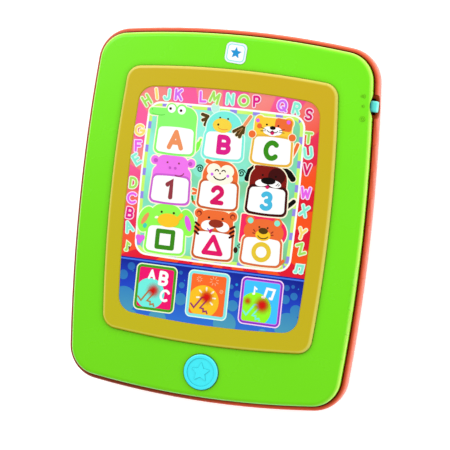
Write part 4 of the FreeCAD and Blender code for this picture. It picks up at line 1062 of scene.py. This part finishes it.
def bear(art):
    """Orange bear on a red shape above the ring."""
    ground = [("oval", 2.8, 12.4, 12.8, 10.4), ("box", -7.2, 13.4, 8.2, 9.2, 1.2)]
    art.figure(ground, 2, "bear_pink", "cream", 0.7)
    art.figure([
        ("oval", 0.3, 12.4, 13.2, 8.2), ("oval", -9.2, 18.9, 3.1, 3.1), ("oval", 8.8, 18.9, 3.1, 3.1),
    ], 4, "orange", "orange", 0.0)
    card_frame(art, "bear_edge")
    art.dots([(-9.0, 18.8), (8.6, 18.8)], 1.9, 6, "mint")
    art.dots([(-2.8, 15.2), (2.7, 15.2)], 0.6, 8, "coffee")
    art.add(oval(0.1, 10.2, 5.0, 3.5), 8, "muzzle")
    art.add(oval(0.0, 13.0, 3.1, 2.0), 9, "brown")
    art.lines([arc(0.1, 10.6, 3.6, 2.5, 205, 335)], 0.3, 9, "coffee")
    for side in (-1, 1):
        x = side * 5.4
        cheek = [[(x, 12.2), (x + side * 1.0, 13.2)], [(x, 10.9), (x + side * 1.3, 11.1)]]
        art.lines(cheek, 0.3, 9, "maroon")
    art.lines([[(13.4, -6.6), (15.0, -4.4)]], 1.0, 3, "orange")
    art.write("ring", 0.1, -0.5, 10.0, 1.45, 8, "amber")


def hand(art, x, y, colour, layer):
    """Simple pointing hand in outline; x and y are the fingertip."""
    strokes = (
        [(x - 10.0, y - 4.6), (x - 7.8, y - 7.0), (x - 3.6, y - 1.0)],
        [(x - 3.7, y - 1.1)] + arc(x - 1.8, y - 1.6, 1.9, 1.9, 150, -10),
        [(x + 0.1, y - 2.0), (x - 3.6, y - 6.8), (x - 1.4, y - 7.0), (x - 1.2, y - 9.0),
         (x + 0.8, y - 8.4), (x + 1.4, y - 9.8)],
    )
    art.lines(strokes, 0.52, layer, colour)


def key(name, index, colours, disc):
    """Round-cornered key: pale line, coloured edge, field and a big circle rising from below."""
    pale, edge, inner, field, disc_colour = colours
    art = Print(name, KEY_X[index], KEY_Y)
    art.add(rounded(0, 0, KEY_W, KEY_H, 3.6), 3, pale)
    art.add(rounded(0, 0, KEY_W - 0.75, KEY_H - 0.75, 3.0), 4, edge)
    if inner:
        art.add(rounded(0, 0, KEY_W - 1.9, KEY_H - 1.9, 2.0), 5, inner)
    field_edge = rounded(0, 0, KEY_W - 2.4, KEY_H - 2.4, 1.4)
    art.add(field_edge, 6, field)
    art.add(clipped(oval(*disc), field_edge), 7, disc_colour)
    return art


def letters_key():
    """Key with three letters on pink."""
    art = key("key_letters", 0, ("lime_pale", "key_green", None, "key_pink", "aqua_disc"), (-3.4, -3.8, 10.0))
    art.write("A", -3.2, 8.6, 5.0, 0.75, 8, "white")
    art.write("B", 5.0, 6.8, 7.6, 1.05, 8, "white", -4)
    art.write("C", 6.6, -4.0, 6.6, 0.85, 8, "white", -14)
    hand(art, -1.2, -2.0, "tan", 9)
    art.done()


def lights_key():
    """Key with a ring of rays on orange."""
    art = key("key_lights", 1, ("mint_pale", "key_aqua", None, "key_orange", "sun_disc"), (-2.4, -4.4, 10.4))
    for angle in (0, 42, 92, 140, 186, 318):
        a = math.radians(angle)
        art.lines([[(-0.8 + r * math.cos(a), -1.6 + r * math.sin(a)) for r in (4.4, 6.2)]], 0.5, 8, "ivory")
    for x, y, r in ((-6.4, 9.6, 1.8), (3.6, 9.4, 2.9), (9.0, 3.2, 1.2)):
        for i in range(8):
            a = math.radians(i * 45 + 20)
            art.lines([[(x + q * math.cos(a), y + q * math.sin(a)) for q in (r * 0.55, r)]], 0.22, 8, "peach")
    hand(art, -0.6, -2.0, "plum", 9)
    art.done()


def music_key():
    """Key with notes on blue."""
    art = key("key_music", 2, ("lilac", "purple", "violet", "key_sky", "lime_disc"), (-3.4, -5.0, 10.8))
    art.write("note", -4.8, 6.6, 4.6, 0.6, 8, "white")
    art.write("notes", 4.2, 5.8, 7.4, 0.8, 8, "white", -14)
    hand(art, -1.0, -2.2, "bird", 9)
    art.done()


def lamp(name, x, y, radius, strength):
    """Disc of red light over one lamp."""
    art = Print(name)
    art.add(oval(x, y, radius), LAMP_LAYER, name)
    used_inks[name] = lamp_glow(name, x, y, radius, strength)
    art.done()


def badge_star():
    """Plain star on the sticker above the screen."""
    art = Print("badge_star", BADGE_X, BADGE_Y, BADGE_Z)
    art.add(rounded(0, 0, 5.9, 5.5, 2.6, -4), 0, "key_aqua")
    art.add(rounded(0, 0, 5.4, 5.0, 2.2, -4), 1, "white")
    points = []
    for i in range(10):
        r = 3.9 if i % 2 == 0 else 1.8
        a = math.pi / 2 + i * math.pi / 5
        points.append((r * math.cos(a), r * math.sin(a)))
    art.add(turned(points, -4), 2, "star_blue")
    art.done()


# ---- soft dome under the round button ----
def spring_dome():
    """Rubber dome under the round button, a fixed shape riding on the casing that stands for the CAD dome; on
    the real toy it flattens when the button is pressed.
    """
    low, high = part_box("button_dome")
    x = (low.x + high.x) / 2
    y = (low.y + high.y) / 2
    rise = high.z - low.z
    skirt = (high.x - low.x) / 2
    profile = [
        (0.0, 1.0), (0.50, 1.0), (0.56, 0.98), (0.575, 0.93), (0.575, 0.84), (0.62, 0.72), (0.70, 0.52),
        (0.79, 0.32), (0.86, 0.20), (0.97, 0.18), (1.0, 0.16), (1.0, 0.02), (0.98, 0.0), (0.76, 0.0),
        (0.70, 0.16), (0.58, 0.46), (0.46, 0.74), (0.42, 0.80), (0.0, 0.80),
    ]
    bm = bmesh.new()
    turns = 48
    rings = []
    for share, height in profile:
        z = low.z + rise * height
        if share == 0:
            rings.append([bm.verts.new((x, y, z))])
            continue
        ring = []
        for i in range(turns):
            a = 2 * math.pi * i / turns
            ring.append(bm.verts.new((x + share * skirt * math.cos(a), y + share * skirt * math.sin(a), z)))
        rings.append(ring)
    for upper, lower in zip(rings[:-1], rings[1:]):
        for i in range(turns):
            j = (i + 1) % turns
            if len(upper) == 1:
                bm.faces.new((upper[0], lower[i], lower[j]))
            elif len(lower) == 1:
                bm.faces.new((upper[j], upper[i], lower[0]))
            else:
                bm.faces.new((upper[i], lower[i], lower[j], upper[j]))
    bmesh.ops.recalc_face_normals(bm, faces=bm.faces[:])
    data = bpy.data.meshes.new("spring_dome")
    bm.to_mesh(data)
    bm.free()
    for polygon in data.polygons:
        polygon.use_smooth = True
    data.materials.append(matte("dome_rubber", *MATTES["grey_rubber"]))
    obj = placed("spring_dome", data)
    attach(obj, "casing")
    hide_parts("button_dome")
    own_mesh(obj)


# ---- floor, light and camera ----
def stage():
    """Pale floor that is clear from below, so that the back can be looked at."""
    bpy.ops.mesh.primitive_plane_add(size=6.0, location=(0, 0, -0.0002))
    floor = bpy.context.object
    floor.name = "floor"
    n = Nodes("floor")
    n.colour(n.mix(n.noise(3.0), rgb(250, 250, 250), rgb(255, 255, 255)))
    n.set(Roughness=0.8, Emission_Strength=0.5, Emission_Color=(1, 1, 1, 1))
    n.surface(n.geometry("Backfacing"), n.bsdf.outputs["BSDF"], n.clear())
    floor.data.materials.append(n.mat)


def lights():
    """Pale surroundings, brighter towards the top right, with a large light on the left."""
    world = bpy.data.worlds.new("studio")
    bpy.context.scene.world = world
    world.use_nodes = True
    world.cycles.sampling_method = "NONE"
    back = world.node_tree.nodes["Background"]
    back.inputs["Color"].default_value = (1, 1, 1, 1)
    t = Tree(world.node_tree)
    rays = t.add("ShaderNodeLightPath").outputs
    dim = t.add("ShaderNodeMapRange", To_Min=AMBIENT, To_Max=AMBIENT * GLOSS_SHARE)
    t.link(rays["Is Glossy Ray"], dim.inputs["Value"])
    lean = t.add("ShaderNodeVectorMath", operation="DOT_PRODUCT")
    t.fill(lean, {0: t.add("ShaderNodeTexCoord").outputs["Generated"], 1: BRIGHT_WAY})
    share = t.plus(t.times(lean.outputs["Value"], rays["Is Diffuse Ray"]), 1.0)
    t.link(t.times(dim.outputs["Result"], share), back.inputs["Strength"])
    data = bpy.data.lights.new("key_light", "AREA")
    data.shape = "RECTANGLE"
    data.size, data.size_y = KEY_SIZE
    data.energy = KEY_POWER
    key_light = placed("key_light", data)
    key_light.location = KEY_PLACE
    key_light.rotation_euler = (-Vector(KEY_PLACE)).to_track_quat("-Z", "Y").to_euler()
    bpy.context.scene.view_settings.view_transform = "Standard"


def camera():
    """Long-lens view from above and a little to the right."""
    data = bpy.data.cameras.new("camera")
    data.sensor_width = 36.0
    data.lens = CAMERA_LENS
    data.clip_start = 0.05
    data.clip_end = 20.0
    cam = placed("camera", data)
    forward = Vector(CAMERA_FORWARD).normalized()
    right = forward.cross(Vector(CAMERA_UP)).normalized()
    turn = Matrix((right, right.cross(forward), -forward)).transposed()
    cam.matrix_world = Matrix.Translation(CAMERA_PLACE) @ turn.to_4x4()
    bpy.context.scene.camera = cam


CARDS = {
    "card_a": crocodile, "card_b": bird, "card_c": cat,
    "card_1": hippo, "card_2": monkey, "card_3": dog,
    "card_square": elephant, "card_triangle": tiger, "card_ring": bear,
}
# Place, radius and strength of the red light.
LAMPS = {
    "lamp_letters": (-37.2, -52.3, 5.6, 0.7),
    "lamp_lights": (-1.0, -52.0, 5.4, 0.84),
    "lamp_music": (36.2, -52.5, 6.2, 0.88),
    "lamp_small": (26.4, -51.0, 3.4, 0.5),
}

finish_parts()
print_ground()
border_letters()
for place, (card, picture) in enumerate(CARDS.items()):
    card_art = Print(card, CARD_X[place % 3], CARD_Y[place // 3])
    picture(card_art)
    card_art.done()
letters_key()
lights_key()
music_key()
for lamp_name, glow_at in LAMPS.items():
    lamp(lamp_name, *glow_at)
badge_star()
spring_dome()
stage()
lights()
camera()
